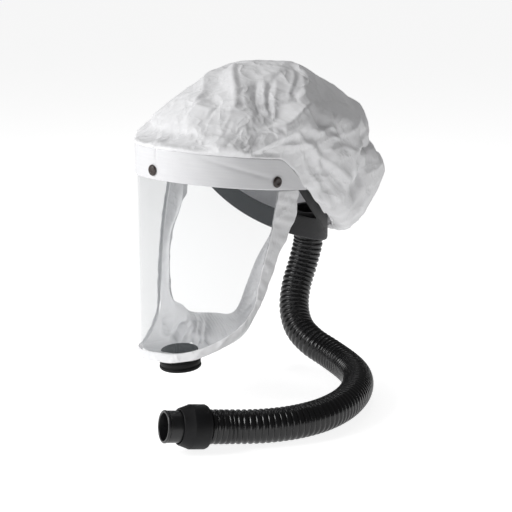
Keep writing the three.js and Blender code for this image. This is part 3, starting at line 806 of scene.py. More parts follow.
@dataclass(frozen=True)
class Crumple:
    """Creases of random strength along the borders between random cells, as crumpled cloth takes on."""

    cell: float
    width: float
    height: float
    seed: int
    near: int = 7
    warp: float = 6.0
    warp_length: float = 24.0

    def lift(self, points: np.ndarray, area: float) -> np.ndarray:
        """How far the creases lift each point.

        Args:
            points: points spread over the sheet, in millimetres.
            area: the sheet's area in square millimetres.

        Returns:
            A lift for each point.
        """
        rng = np.random.default_rng(self.seed)
        count = int(area / self.cell ** 2)
        bent = points + self.warp * np.sin(points[:, (1, 2, 0)] / self.warp_length)
        seeds = bent[rng.choice(len(bent), count, replace=False)]
        apart = np.linalg.norm(bent[:, None, :] - seeds[None, :, :], axis=2)
        order = np.argpartition(apart, self.near, axis=1)[:, :self.near]
        gap = np.take_along_axis(apart, order, axis=1)
        gap = gap - gap.min(axis=1, keepdims=True)
        strength = rng.uniform(-1.0, 1.0, (count, count))
        strength = strength + strength.T
        total = np.zeros(len(points))
        for a in range(self.near):
            for b in range(a):
                total += strength[order[:, a], order[:, b]] * np.exp(-(gap[:, a] + gap[:, b]) / self.width)
        return self.height * total


@dataclass(frozen=True)
class Drape:
    """A run of the cloth solver: its slack, its hold on the laid-out shape, and how stiff the cloth is."""

    slack: float
    hold: float
    bend: float
    frames: int = 16
    limit: float = 10.0
    calm: int = 5
    quality: int = 5
    mass: float = 0.02
    damping: float = 4.0
    stretch: float = 20.0
    shear: float = 8.0
    pin: float = 1.0

    def smoothed(self, piece: bpy.types.Object, moved: np.ndarray) -> np.ndarray:
        """Evens moves out over neighbouring points, so that ripples as fine as the mesh go away.

        Args:
            piece: the sheet, whose edges say which points are neighbours.
            moved: how far each point has moved.

        Returns:
            The evened moves.
        """
        ends = np.array([edge.vertices[:] for edge in piece.data.edges])
        count = np.bincount(ends.ravel(), minlength=len(moved))[:, None]
        for _ in range(self.calm):
            total = np.zeros_like(moved)
            np.add.at(total, ends[:, 0], moved[ends[:, 1]])
            np.add.at(total, ends[:, 1], moved[ends[:, 0]])
            moved = (moved + total / count) / 2
        return moved

    def settings(self, group: str) -> dict[str, float | int | str]:
        """Lists the solver's settings.

        Args:
            group: name of the point group that holds the cloth.

        Returns:
            Values by the solver's own names.
        """
        return {
            "quality": self.quality,
            "mass": self.mass,
            "air_damping": self.damping,
            "tension_stiffness": self.stretch,
            "compression_stiffness": self.stretch,
            "shear_stiffness": self.shear,
            "bending_stiffness": self.bend,
            "vertex_group_mass": group,
            "pin_stiffness": self.pin,
            "shrink_min": -self.slack,
        }

    def run(self, piece: bpy.types.Object, fixed: np.ndarray) -> None:
        """Lets a sheet with some slack buckle round its laid-out shape.

        Args:
            piece: the open sheet.
            fixed: a weight for each point, 1 where it is sewn down.
        """
        start = point_array(piece)
        group = piece.vertex_groups.new(name="hold")
        for number, weight in enumerate(np.maximum(fixed, self.hold)):
            group.add([number], float(weight), "REPLACE")
        cloth = piece.modifiers.new("cloth", "CLOTH")
        for name, value in self.settings(group.name).items():
            setattr(cloth.settings, name, value)
        cloth.settings.effector_weights.gravity = 0.0
        cloth.collision_settings.use_collision = False
        cloth.collision_settings.use_self_collision = False
        cloth.point_cache.frame_start = 1
        cloth.point_cache.frame_end = self.frames
        for number in range(1, self.frames + 1):
            bpy.context.scene.frame_set(number)
        settle(piece)
        bpy.context.scene.frame_set(1)
        moved = self.smoothed(piece, point_array(piece) - start)
        length = np.linalg.norm(moved, axis=1, keepdims=True)
        set_points(piece, start + moved * np.minimum(1.0, self.limit / np.maximum(length, SMALL)))
        piece.vertex_groups.clear()
        LOG.info("%s: cloth moved %.1f mm at most", piece.name, float(length.max()))


@dataclass
class Crown:
    """The bouffant crown, laid out as a round sheet from its top to its hem."""

    rings: int = 96
    tuck_rings: int = 3
    tuck_drop: float = 1.5
    tuck_inset: float = 1.4
    tuck_middle: tuple[float, float] = (0.0, 20.0)
    levels: int = 160
    line_points: int = 25
    crease_taper: float = 5.0
    crumples: tuple[Crumple, ...] = (Crumple(38.0, 6.5, 1.2, 3), Crumple(17.0, 3.2, 0.45, 8))
    calm_levels: tuple[float, float] = (0.3, 0.6)
    calm_top: float = 0.45
    calm_angles: tuple[float, float] = (25.0, 70.0)
    calm_front: float = 0.55
    hem_gathers: int = 44
    hem_gather: float = 1.2
    hem_reach: float = 0.12
    gather_start: float = 0.2
    scallop: float = 1.3
    scallops: tuple[int, int] = (23, 37)
    scallop_run: tuple[float, float, float, float] = (0.0, 0.2, 0.5, 0.75)
    wall: float = 0.8
    inlet_radius: float = 20.4
    inlet_reach: float = 40.0
    hold_round_inlet: float = 1.6
    drape: Drape = Drape(slack=0.025, hold=0.28, bend=20.0)

    def surface(self, angle: np.ndarray, level: np.ndarray) -> np.ndarray:
        """Points of the crown before its folds.

        Args:
            angle: degrees round the crown.
            level: shares of its height, 0 at the hem.

        Returns:
            An array of points.
        """
        rows = smooth_rows(CROWN_RINGS, level)
        ring = CrownRing(*(rows[..., k] for k in range(len(CrownRing._fields))))
        x, y = plan_points(ring, angle)
        t = np.clip((y - ring.front) / np.maximum(ring.back - ring.front, SMALL), 0.0, 1.0)
        z = ring.front_z + (ring.back_z - ring.front_z) * OUTLINE.hem_share(t)
        return np.stack([x, y, z], axis=-1)

    def layout(self) -> tuple[np.ndarray, np.ndarray, np.ndarray]:
        """Lays a square grid out as a disc, so that no point is a pole.

        Returns:
            The ring number and the angle of each point, and the faces.
        """
        steps = np.arange(-self.rings, self.rings + 1)
        u, w = (part.ravel() for part in np.meshgrid(steps, steps, indexing="ij"))
        ring = np.maximum(np.abs(u), np.abs(w))
        size = np.maximum(ring, 1)
        sides = [w == -ring, u == ring, w == ring, u == -ring]
        angles = [EIGHTH * u / size, QUARTER + EIGHTH * w / size, HALF_TURN - EIGHTH * u / size,
                  TURN - QUARTER - EIGHTH * w / size]
        number = np.arange(len(ring)).reshape(len(steps), len(steps))
        corners = (number[:-1, :-1], number[1:, :-1], number[1:, 1:], number[:-1, 1:])
        return ring, np.select(sides, angles), np.stack(corners, axis=-1).reshape(-1, 4)

    def lay_out_points(self, ring: np.ndarray, angle: np.ndarray) -> tuple[np.ndarray, np.ndarray]:
        """Spaces the rings evenly along each line from the top to the hem, and tucks the last ones in.

        Args:
            ring: ring number of each point.
            angle: angle of each point.

        Returns:
            The points, and their levels.
        """
        shares = np.linspace(0.0, 1.0, self.levels)
        lines = self.surface(angle[:, None], np.broadcast_to(shares, (len(angle), self.levels)))
        run = np.linalg.norm(np.diff(lines, axis=1), axis=2)
        run = np.concatenate([np.zeros((len(angle), 1)), np.cumsum(run, axis=1)], axis=1)
        open_rings = self.rings - self.tuck_rings
        wanted = (1 - np.minimum(ring, open_rings) / open_rings) * run[:, -1]
        level = np.array([np.interp(at, line, shares) for at, line in zip(wanted, run)])
        points = self.surface(angle, level)
        tuck = np.maximum(0, ring - open_rings) / self.tuck_rings
        inward = np.zeros_like(points)
        inward[:, :2] = self.tuck_middle - points[:, :2]
        inward /= np.maximum(np.linalg.norm(inward, axis=1, keepdims=True), SMALL)
        points = points + tuck[:, None] * (inward * self.tuck_inset - np.array([0.0, 0.0, self.tuck_drop]))
        return points, level

    def line(self, corners: Sequence[tuple[float, float]], side: int = 1) -> np.ndarray:
        """A line on the crown through angles and levels, on the side that the sign says."""
        angle, level = smooth_rows(corners, np.linspace(0.0, 1.0, self.line_points)).T
        return self.surface(side * angle, level)

    def lift(self, points: np.ndarray, angle: np.ndarray, level: np.ndarray, area: float) -> np.ndarray:
        """How far the folds, the creases and the hem's gathers lift each point.

        Args:
            points: the points before they are lifted.
            angle: their angles.
            level: their levels.
            area: the crown's area in square millimetres.

        Returns:
            A lift for each point.
        """
        total = np.zeros(len(points))
        for fold in CROWN_FOLDS:
            line = self.line(((fold.angle, fold.level), (fold.end_angle, fold.end_level)))
            total += fold.lift * np.exp(-(line_distance(points, line)[0] / fold.width) ** 2)
        for crease in CROWN_CREASES:
            for side in (1, -1) if crease.paired else (1,):
                apart, share = line_distance(points, self.line(crease.line, side))
                taper = np.minimum(1.0, np.minimum(share, 1 - share) * self.crease_taper)
                total += crease.lift * taper * np.exp(-apart / crease.width)
        aside = np.abs((angle + HALF_TURN) % TURN - HALF_TURN)
        strong = np.interp(level, self.calm_levels, (1.0, self.calm_top))
        strong = strong * np.interp(aside, self.calm_angles, (self.calm_front, 1.0))
        for crumple in self.crumples:
            total += strong * crumple.lift(points, area)
        calm = np.minimum(1.0, level / self.hem_reach)
        rear = np.maximum(0.0, self.gather_start - np.cos(np.radians(angle)))
        wave = np.cos(np.radians(self.hem_gathers * angle))
        return calm * total + self.hem_gather * rear * wave * np.exp(-level / self.hem_reach)

    def hem_scallop(self, angle: np.ndarray, level: np.ndarray) -> np.ndarray:
        """Rise and fall of the gathered hem behind the temples.

        Args:
            angle: angles of the points.
            level: their levels.

        Returns:
            A rise for each point.
        """
        along = -np.cos(np.radians(angle))
        rear = np.interp(along, self.scallop_run, (0.0, 1.0, 1.0, 0.0))
        waves = sum(np.sin(np.radians(count * angle)) for count in self.scallops)
        return self.scallop * rear * waves * np.exp(-level / self.hem_reach)

    def build(self, material: bpy.types.Material, inlet: "HoseInlet") -> bpy.types.Object:
        """Builds the crown round the inlet's hole.

        Args:
            material: its finish.
            inlet: the collar that comes through it.

        Returns:
            The crown.
        """
        ring, angle, faces = self.layout()
        points, level = self.lay_out_points(ring, angle)
        piece = new_object("crown_cloth", points, faces)
        area = mesh_area(piece) / MM ** 2
        lifted = points + point_normals(piece) * self.lift(points, angle, level, area)[:, None]
        lifted[:, 2] += self.hem_scallop(angle, level)
        set_points(piece, lifted)
        sewn = (ring >= self.rings - self.tuck_rings).astype(float)
        near = np.linalg.norm(lifted - inlet.centre, axis=1) < inlet.radius * self.hold_round_inlet
        self.drape.run(piece, np.maximum(sewn, near))
        cut_round(piece, inlet.centre, inlet.axis, self.inlet_radius, self.inlet_reach)
        thicken(piece, self.wall, 0)
        finish_piece(piece, material, "hood_crown")
        area = sheet_area(piece)
        return piece


@dataclass
class BrowBand:
    """The smooth band round the brow, with tails along the hem."""

    inner: float = 0.3
    wall: float = 1.5
    hem_clear: float = 1.0
    tail_height: float = 2.0
    side_angle: float = 87.5
    tail_limit: float = 125.0
    tail_steps: int = 300
    columns: int = 320
    rows: int = 16
    ripple: float = 0.1
    ripples: float = 21.0
    ripple_rows: float = 9.0
    ripple_slant: float = 4.0
    seam_depth: float = 1.3
    seam_angle: float = 2.5
    seam_width: float = 0.9
    seam_foot: float = 0.55
    seam_fade: float = 6.0
    fold_depth: float = 1.0
    fold_width: float = 0.05
    fold_top: float = 0.88
    fold_start: float = 36.0
    fold_run: float = 46.0
    fold_fall: float = 0.5
    fold_middle: float = 62.0
    fold_reach: float = 22.0
    cut_share: float = 0.8

    def height(self, angle: np.ndarray) -> np.ndarray:
        """Height of the band at angles, from its foot to the hem."""
        y = OUTLINE.depth(angle)
        return OUTLINE.hem_height(y) - self.hem_clear - OUTLINE.band_foot(y)

    def tail(self) -> float:
        """Angle at which the tail has tapered to its end."""
        angles = np.linspace(self.side_angle, self.tail_limit, self.tail_steps)
        return float(angles[np.argmax(self.height(angles) < self.tail_height)])

    def relief(self, angle: np.ndarray, share: np.ndarray) -> np.ndarray:
        """Ripples, the seam above the front stud and the slanting fold towards each side stud.

        Args:
            angle: degrees round the brow.
            share: shares of the band's height.

        Returns:
            How far each place lies off the smooth band.
        """
        aside = np.abs(angle)
        wave = np.sin(np.radians(angle * self.ripples))
        wave = wave * np.sin(share * self.ripple_rows + np.radians(angle * self.ripple_slant))
        seam = -self.seam_depth * np.exp(-((angle - self.seam_angle) / self.seam_width) ** 2)
        seam = seam * np.clip((share - self.seam_foot) * self.seam_fade, 0.0, 1.0)
        slant = self.fold_top - (aside - self.fold_start) / self.fold_run * self.fold_fall
        fold = -self.fold_depth * np.exp(-((share - slant) / self.fold_width) ** 2)
        fold = fold * np.exp(-((aside - self.fold_middle) / self.fold_reach) ** 4)
        return self.ripple * wave + seam + fold

    def build(self, material: bpy.types.Material) -> bpy.types.Object:
        """Builds the band.

        Args:
            material: its finish.

        Returns:
            The band.
        """
        tail = self.tail()
        angle = np.linspace(-tail, tail, self.columns)[None, :]
        share = np.linspace(0.0, 1.0, self.rows)[:, None]
        z = OUTLINE.band_foot(OUTLINE.depth(angle)) + share * self.height(angle)
        offset = self.inner + self.wall / 2 + self.relief(angle, share)
        piece = grid_object("brow_band_cloth", OUTLINE.points(angle, z, offset))
        thicken(piece, self.wall)
        finish_piece(piece, material, "brow_band")
        OUTLINE.points(angle[0], z[self.rows // 2])
        return piece


@dataclass
class Visor:
    """The clear wrap-round sheet and the cloth that binds its edge."""

    wall: float = 0.9
    tuck: float = 25.0
    columns: int = 181
    rows: int = 40
    sharp_angle: float = 40.0
    gap: float = 0.3
    binding_wall: float = 1.2
    binding_lap: float = 2.0
    binding_rows: int = 9
    binding_crown: float = 0.6
    binding_share: float = 0.95
    pucker: float = 0.6
    pucker_turns: float = 1.3
    pucker_slant: float = 4.0
    pucker_beat: float = 0.37
    edge_wave: float = 0.04
    edge_waves: tuple[float, float] = (0.23, 0.61)
    binding_crumple: Crumple = Crumple(13.0, 3.0, 0.5, 11)

    def places(self) -> np.ndarray:
        """Places along the edge, from -1 at the right temple to 1 at the left."""
        return np.linspace(-1.0, 1.0, self.columns)

    def build_sheet(self, material: bpy.types.Material) -> bpy.types.Object:
        """Builds the clear sheet.

        Args:
            material: its finish.

        Returns:
            The sheet.
        """
        edge = visor_edge(self.places())
        share = np.linspace(0.0, 1.0, self.rows)[:, None]
        top = OUTLINE.band_foot(OUTLINE.depth(edge.angle)) + self.tuck
        z = edge.z + share * (top - edge.z)
        piece = grid_object("visor_sheet", OUTLINE.points(edge.angle[None, :], z, -self.wall / 2))
        thicken(piece, self.wall, 0)
        piece.data.set_sharp_from_angle(angle=math.radians(self.sharp_angle))
        return finish_piece(piece, material, "visor")

    def build_binding(self, material: bpy.types.Material) -> bpy.types.Object:
        """Builds the cloth strip along the edge.

        Args:
            material: its finish.

        Returns:
            The strip.
        """
        edge = visor_edge(self.places())
        turn = edge.outer_angle - edge.angle
        drop = edge.outer_z - edge.z
        width = np.hypot(np.radians(turn) * OUTLINE.ring.half, drop)
        across = np.linspace(0.0, 1.0, self.binding_rows)[:, None]
        share = across * (1 + self.binding_lap / width) - self.binding_lap / width
        run = np.arange(self.columns)[None, :]
        share = share * (1 + self.edge_wave * sum(np.sin(run * turns) for turns in self.edge_waves))
        angle = edge.angle + share * turn
        z = edge.z + share * drop
        dome = self.binding_crown * np.sin(math.pi * across)
        pucker = np.sin(run * self.pucker_turns + self.pucker_slant * share) * np.sin(run * self.pucker_beat)
        offset = self.gap + self.binding_wall / 2 + dome + self.pucker * pucker
        grid = OUTLINE.points(angle, z, offset)
        strip = float(width.mean() * run_length(grid[0]))
        rough = self.binding_crumple.lift(grid.reshape(-1, 3), strip).reshape(offset.shape)
        grid = OUTLINE.points(angle, z, offset + np.maximum(rough, -self.pucker))
        piece = grid_object("binding_cloth", grid[::-1])
        thicken(piece, self.binding_wall)
        finish_piece(piece, material, "visor_binding")
        return piece


@dataclass
class ChinValve:
    """The exhalation valve under the chin: a ring through the cloth with a seat and two posts."""

    y: float = -62.0
    z: float = -175.0
    tilt: float = 4.0
    neck: float = 19.6
    lip: float = 22.0
    flange: float = 21.7
    bore: float = 17.0
    top: float = 2.5
    drop: float = 17.0
    neck_foot: float = 10.0
    lip_steps: Outline = ((-1.0, 0.0), (0.0, 0.9), (0.0, 2.9), (-1.5, 3.6), (-1.5, 4.7))
    flange_steps: Outline = ((0.0, 5.3), (0.0, 8.9))
    rim_steps: Outline = ((0.0, -0.6), (-0.6, 0.0), (-1.3, 0.0), (-1.4, -0.9))
    ledge_steps: Outline = ((0.7, -1.0), (0.6, -2.2), (0.0, -2.4))
    ring_ease: float = 0.3
    seat_foot: float = 8.0
    seat_height: float = 2.0
    seat_gap: float = 0.3
    seat_steps: Outline = ((0.0, 0.0), (-1.2, 0.0), (-1.5, -0.6), (-3.4, -0.6), (-3.7, 0.0), (-5.0, 0.0),
                           (-5.4, -0.6))
    hub_steps: Outline = ((6.0, -0.6), (5.4, 0.9), (0.0, 1.0))
    seat_ease: float = 0.25
    post_rise: float = 5.8
    post_places: tuple[float, float] = (-3.6, 0.0)
    post_foot_steps: Outline = ((0.0, 0.4), (1.1, 0.4))
    post_tip_steps: Outline = ((1.0, -0.5), (0.0, 0.0))
    post_ease: float = 0.2
    post_sides: int = 16
    sides: int = 72

    @property
    def centre(self) -> np.ndarray:
        """Middle of the neck."""
        return np.array([0.0, self.y, self.z])

    @property
    def axis(self) -> np.ndarray:
        """Direction out of the mouth, upwards."""
        return np.array([0.0, -math.sin(math.radians(self.tilt)), math.cos(math.radians(self.tilt))])

    def build_body(self, material: bpy.types.Material) -> bpy.types.Object:
        """Builds the ring with its lip, groove and flange.

        Args:
            material: its finish.

        Returns:
            The ring.
        """
        low = -self.drop
        outline = [
            (self.bore, low),
            *steps_from(self.lip, low, self.lip_steps),
            *steps_from(self.flange, low, self.flange_steps),
            (self.neck, low + self.neck_foot),
            *steps_from(self.neck, self.top, self.rim_steps),
            *steps_from(self.bore, self.top, self.ledge_steps),
        ]
        piece = turned_object("valve_ring", outline, self.centre, self.axis, self.sides, self.ring_ease)
        return finish_piece(piece, material, "valve_body")

    def build_insert(self, material: bpy.types.Material) -> bpy.types.Object:
        """Builds the seat with its raised rings and its two posts.

        Args:
            material: its finish.

        Returns:
            The seat, with the posts in one piece with it.
        """
        low = -self.drop + self.seat_foot
        high = low + self.seat_height
        edge = self.bore - self.seat_gap
        outline = [
            (0.0, low),
            (edge, low),
            *steps_from(edge, high, self.seat_steps),
            *steps_from(0.0, high, self.hub_steps),
        ]
        piece = turned_object("valve_seat", outline, self.centre, self.axis, self.sides, self.seat_ease)
        tip = self.top + self.post_rise
        outline = [*steps_from(0.0, low, self.post_foot_steps), *steps_from(0.0, tip, self.post_tip_steps)]
        posts = []
        for step in self.post_places:
            place = self.centre + np.array([step, step, 0.0])
            post = turned_object("valve_post", outline, place, self.axis, self.post_sides, self.post_ease)
            posts.append(post)
        join_pieces(piece, posts)
        return finish_piece(piece, material, "valve_insert")


@dataclass
class FaceSeal:
    """The cloth from the visor's edge to the elastic edge round the face, with the chin's pocket."""

    valve: ChinValve
    rows: int = 34
    columns: int = 271
    chin_share: float = 1.5
    line_points: int = 25
    wall: float = 0.8
    inset: float = 2.5
    rise: float = 1.2
    gather: float = 0.5
    gathers: int = 46
    gather_power: int = 3
    wobble: float = 1.6
    wobble_turns: float = 17.0
    wobble_phase: float = 1.0
    wobble_power: int = 4
    crumple: Crumple = Crumple(20.0, 4.0, 0.6, 5)
    hole_gap: float = 0.25
    hole_reach: float = 14.0
    hold_round_valve: float = 1.25
    drape: Drape = Drape(slack=0.02, hold=0.5, bend=10.0, limit=4.0, calm=2)

    def surface(self, place: np.ndarray, flat: np.ndarray) -> np.ndarray:
        """Points of the seal before its folds.

        Args:
            place: places along the visor's edge, from -1 at the right temple to 1 at the left.
            flat: shares of the way from the visor's edge to the elastic edge.

        Returns:
            An array of points.
        """
        side = np.sign(place)
        edge = visor_edge(place)
        line = SealLine(*smooth_rows(SEAL_LINES, 1 - np.abs(place)).T)
        start = OUTLINE.points(edge.angle, edge.z + self.rise, -self.inset)
        end = np.stack([side * line.open_x, line.open_y, line.open_z], axis=-1)
        knee = np.stack([side * line.knee_x, line.knee_y, line.knee_z], axis=-1)
        share = flat[:, None]
        bend = 2 * knee - 0.5 * (start + end)
        return (1 - share) ** 2 * start + 2 * share * (1 - share) * bend + share ** 2 * end

    def line(self, corners: Sequence[tuple[float, float]]) -> np.ndarray:
        """A line on the seal through places and shares."""
        place, flat = smooth_rows(corners, np.linspace(0.0, 1.0, self.line_points)).T
        return self.surface(place, flat)

    def lift(self, points: np.ndarray, place: np.ndarray, flat: np.ndarray, area: float) -> np.ndarray:
        """How far the folds and the elastic edge's gathers lift each point.

        Args:
            points: the points before they are lifted.
            place: their places along the visor's edge.
            flat: their shares of the way to the elastic edge.
            area: the seal's area in square millimetres.

        Returns:
            A lift for each point.
        """
        total = self.crumple.lift(points, area)
        for crease in SEAL_CREASES:
            total += crease.lift * np.exp(-line_distance(points, self.line(crease.line))[0] / crease.width)
        gather = self.gather * np.sin(2 * math.pi * self.gathers * place) * flat ** self.gather_power
        wobble = self.wobble * np.sin(self.wobble_turns * place + self.wobble_phase)
        wobble = wobble * flat ** self.wobble_power
        return total * np.sqrt(np.sin(math.pi * flat)) + (gather + wobble)

    def build(self, material: bpy.types.Material) -> bpy.types.Object:
        """Builds the seal round the valve's hole.

        Args:
            material: its finish.

        Returns:
            The seal.
        """
        shape = (self.rows, self.columns, 3)
        flat = np.repeat(np.linspace(0.0, 1.0, self.rows), self.columns)
        even = np.linspace(-1.0, 1.0, self.columns)
        place = np.tile(np.sign(even) * np.abs(even) ** self.chin_share, self.rows)
        points = self.surface(place, flat)
        piece = grid_object("seal_cloth", points.reshape(shape))
        area = mesh_area(piece) / MM ** 2
        moved = points + point_normals(piece) * self.lift(points, place, flat, area)[:, None]
        set_points(piece, moved)
        valve = self.valve
        sewn = (flat == 0) | (flat == 1)
        near = np.linalg.norm(moved - valve.centre, axis=1) < valve.neck * self.hold_round_valve
        self.drape.run(piece, (sewn | near).astype(float))
        cut_round(piece, valve.centre, valve.axis, valve.neck + self.hole_gap, self.hole_reach)
        thicken(piece, self.wall)
        finish_piece(piece, material, "face_seal")
        grid = moved.reshape(shape) * MM
        width = max(run_length(column) for column in grid.swapaxes(0, 1))
        return piece


@dataclass
class NapeStrap:
    """The dark strap round the nape, inside the hem."""

    height: float = 24.0
    inset: float = 4.0
    low: float = 4.0
    dip: float = 0.11
    start_angle: float = 84.0
    wall: float = 1.4
    columns: int = 200
    rows: int = 9
    cut_share: float = 1.0

    def build(self, material: bpy.types.Material) -> bpy.types.Object:
        """Builds the strap.

        Args:
            material: its finish.

        Returns:
            The strap.
        """
        angle = np.linspace(self.start_angle, TURN - self.start_angle, self.columns)[None, :]
        y = OUTLINE.depth(angle)
        foot = np.minimum(OUTLINE.hem_height(y) - self.low - self.dip * y, OUTLINE.band_foot(y) + self.low)
        share = np.linspace(0.0, 1.0, self.rows)[:, None]
        grid = OUTLINE.points(angle, foot + share * self.height, -self.inset - self.wall / 2)
        piece = grid_object("nape_webbing", grid)
        thicken(piece, self.wall)
        finish_piece(piece, material, "nape_strap")
        return piece


@dataclass
class PressStuds:
    """The three press studs on the band, with a dimple in each cap."""

    radius: float = 5.75
    cap: float = 2.2
    rim_steps: Outline = ((-0.2, 0.0), (0.0, 0.5), (-0.25, 1.15), (-0.9, 1.75))
    top_inset: float = 1.6
    dimple_steps: Outline = ((2.7, 0.0), (2.2, -0.55), (1.2, -0.8), (0.0, -0.8))
    ease: float = 0.15
    lift: float = 2.1
    side_angle: float = 87.5
    side_z: float = 9.0
    front_z: float = 21.5
    turn_step: float = 1.0
    sides: int = 48

    def build(self, material: bpy.types.Material) -> list[bpy.types.Object]:
        """Builds the studs.

        Args:
            material: their finish.

        Returns:
            The studs at the front, the left and the right.
        """
        outline = [
            (0.0, 0.0),
            *steps_from(self.radius, 0.0, self.rim_steps),
            (self.radius - self.top_inset, self.cap),
            *steps_from(0.0, self.cap, self.dimple_steps),
        ]
        places = {
            "stud_front": (0.0, self.front_z),
            "stud_left": (self.side_angle, self.side_z),
            "stud_right": (-self.side_angle, self.side_z),
        }
        studs = []
        for name, (angle, z) in places.items():
            turns = angle + self.turn_step * np.array([-1.0, 0.0, 1.0])
            before, place, after = OUTLINE.points(turns, np.full(3, z), self.lift)
            along = after - before
            outward = np.array([along[1], -along[0], 0.0])
            piece = turned_object(name + "_cap", outline, place, outward, self.sides, self.ease)
            studs.append(finish_piece(piece, material, name))
        return studs


def route_points(points: Sequence[Sequence[float]], steps: int) -> np.ndarray:
    """Points along a smooth line through a route, closer together where the route's own points are.

    Args:
        points: the route.
        steps: how many points for each stretch of the route.

    Returns:
        An array of points in millimetres.
    """
    route = np.array(points, float)
    padded = np.vstack([2 * route[0] - route[1], route, 2 * route[-1] - route[-2]])
    line = []
    for i in range(1, len(padded) - 2):
        p0, p1, p2, p3 = padded[i - 1:i + 3]
        d0, d1, d2 = (math.sqrt(np.linalg.norm(b - a)) for a, b in ((p0, p1), (p1, p2), (p2, p3)))
        m1 = ((p1 - p0) / d0 - (p2 - p0) / (d0 + d1) + (p2 - p1) / d1) * d1
        m2 = ((p2 - p1) / d1 - (p3 - p1) / (d1 + d2) + (p3 - p2) / d2) * d1
        line.extend(smooth_step(f, p1, p2, m1, m2) for f in np.arange(steps) / steps)
    return np.vstack([line, route[-1]])


@dataclass
class HoseInlet:
    """The collar that the hose leaves the nape through, with a groove that holds the cloth."""

    line: np.ndarray
    radius: float = 21.5
    bore: float = 14.5
    inside: float = 12.0
    outside: float = 9.0
    top_steps: Outline = ((-2.0, 0.0), (-0.3, 1.7))
    groove_steps: Outline = ((-0.3, -2.2), (-1.4, -1.6), (-1.4, 1.6), (-0.3, 2.2))
    foot_steps: Outline = ((-0.3, -1.8), (-2.0, 0.0))
    ease: float = 0.4
    gap: float = 0.3
    sides: int = 72

    @property
    def axis(self) -> np.ndarray:
        """Direction of the hose where it starts."""
        step = self.line[1] - self.line[0]
        return step / np.linalg.norm(step)

    @property
    def centre(self) -> np.ndarray:
        """Middle of the collar, where the cloth meets it."""
        return self.line[0] - self.axis * (self.outside + self.gap)

    def build(self, material: bpy.types.Material) -> bpy.types.Object:
        """Builds the collar.

        Args:
            material: its finish.

        Returns:
            The collar.
        """
        outline = [
            (self.bore, -self.inside),
            *steps_from(self.radius, -self.inside, self.top_steps),
            *steps_from(self.radius, 0.0, self.groove_steps),
            *steps_from(self.radius, self.outside, self.foot_steps),
            (self.bore, self.outside),
        ]
        piece = turned_object("inlet_collar", outline, self.centre, self.axis, self.sides, self.ease)
        return finish_piece(piece, material, "hose_inlet")


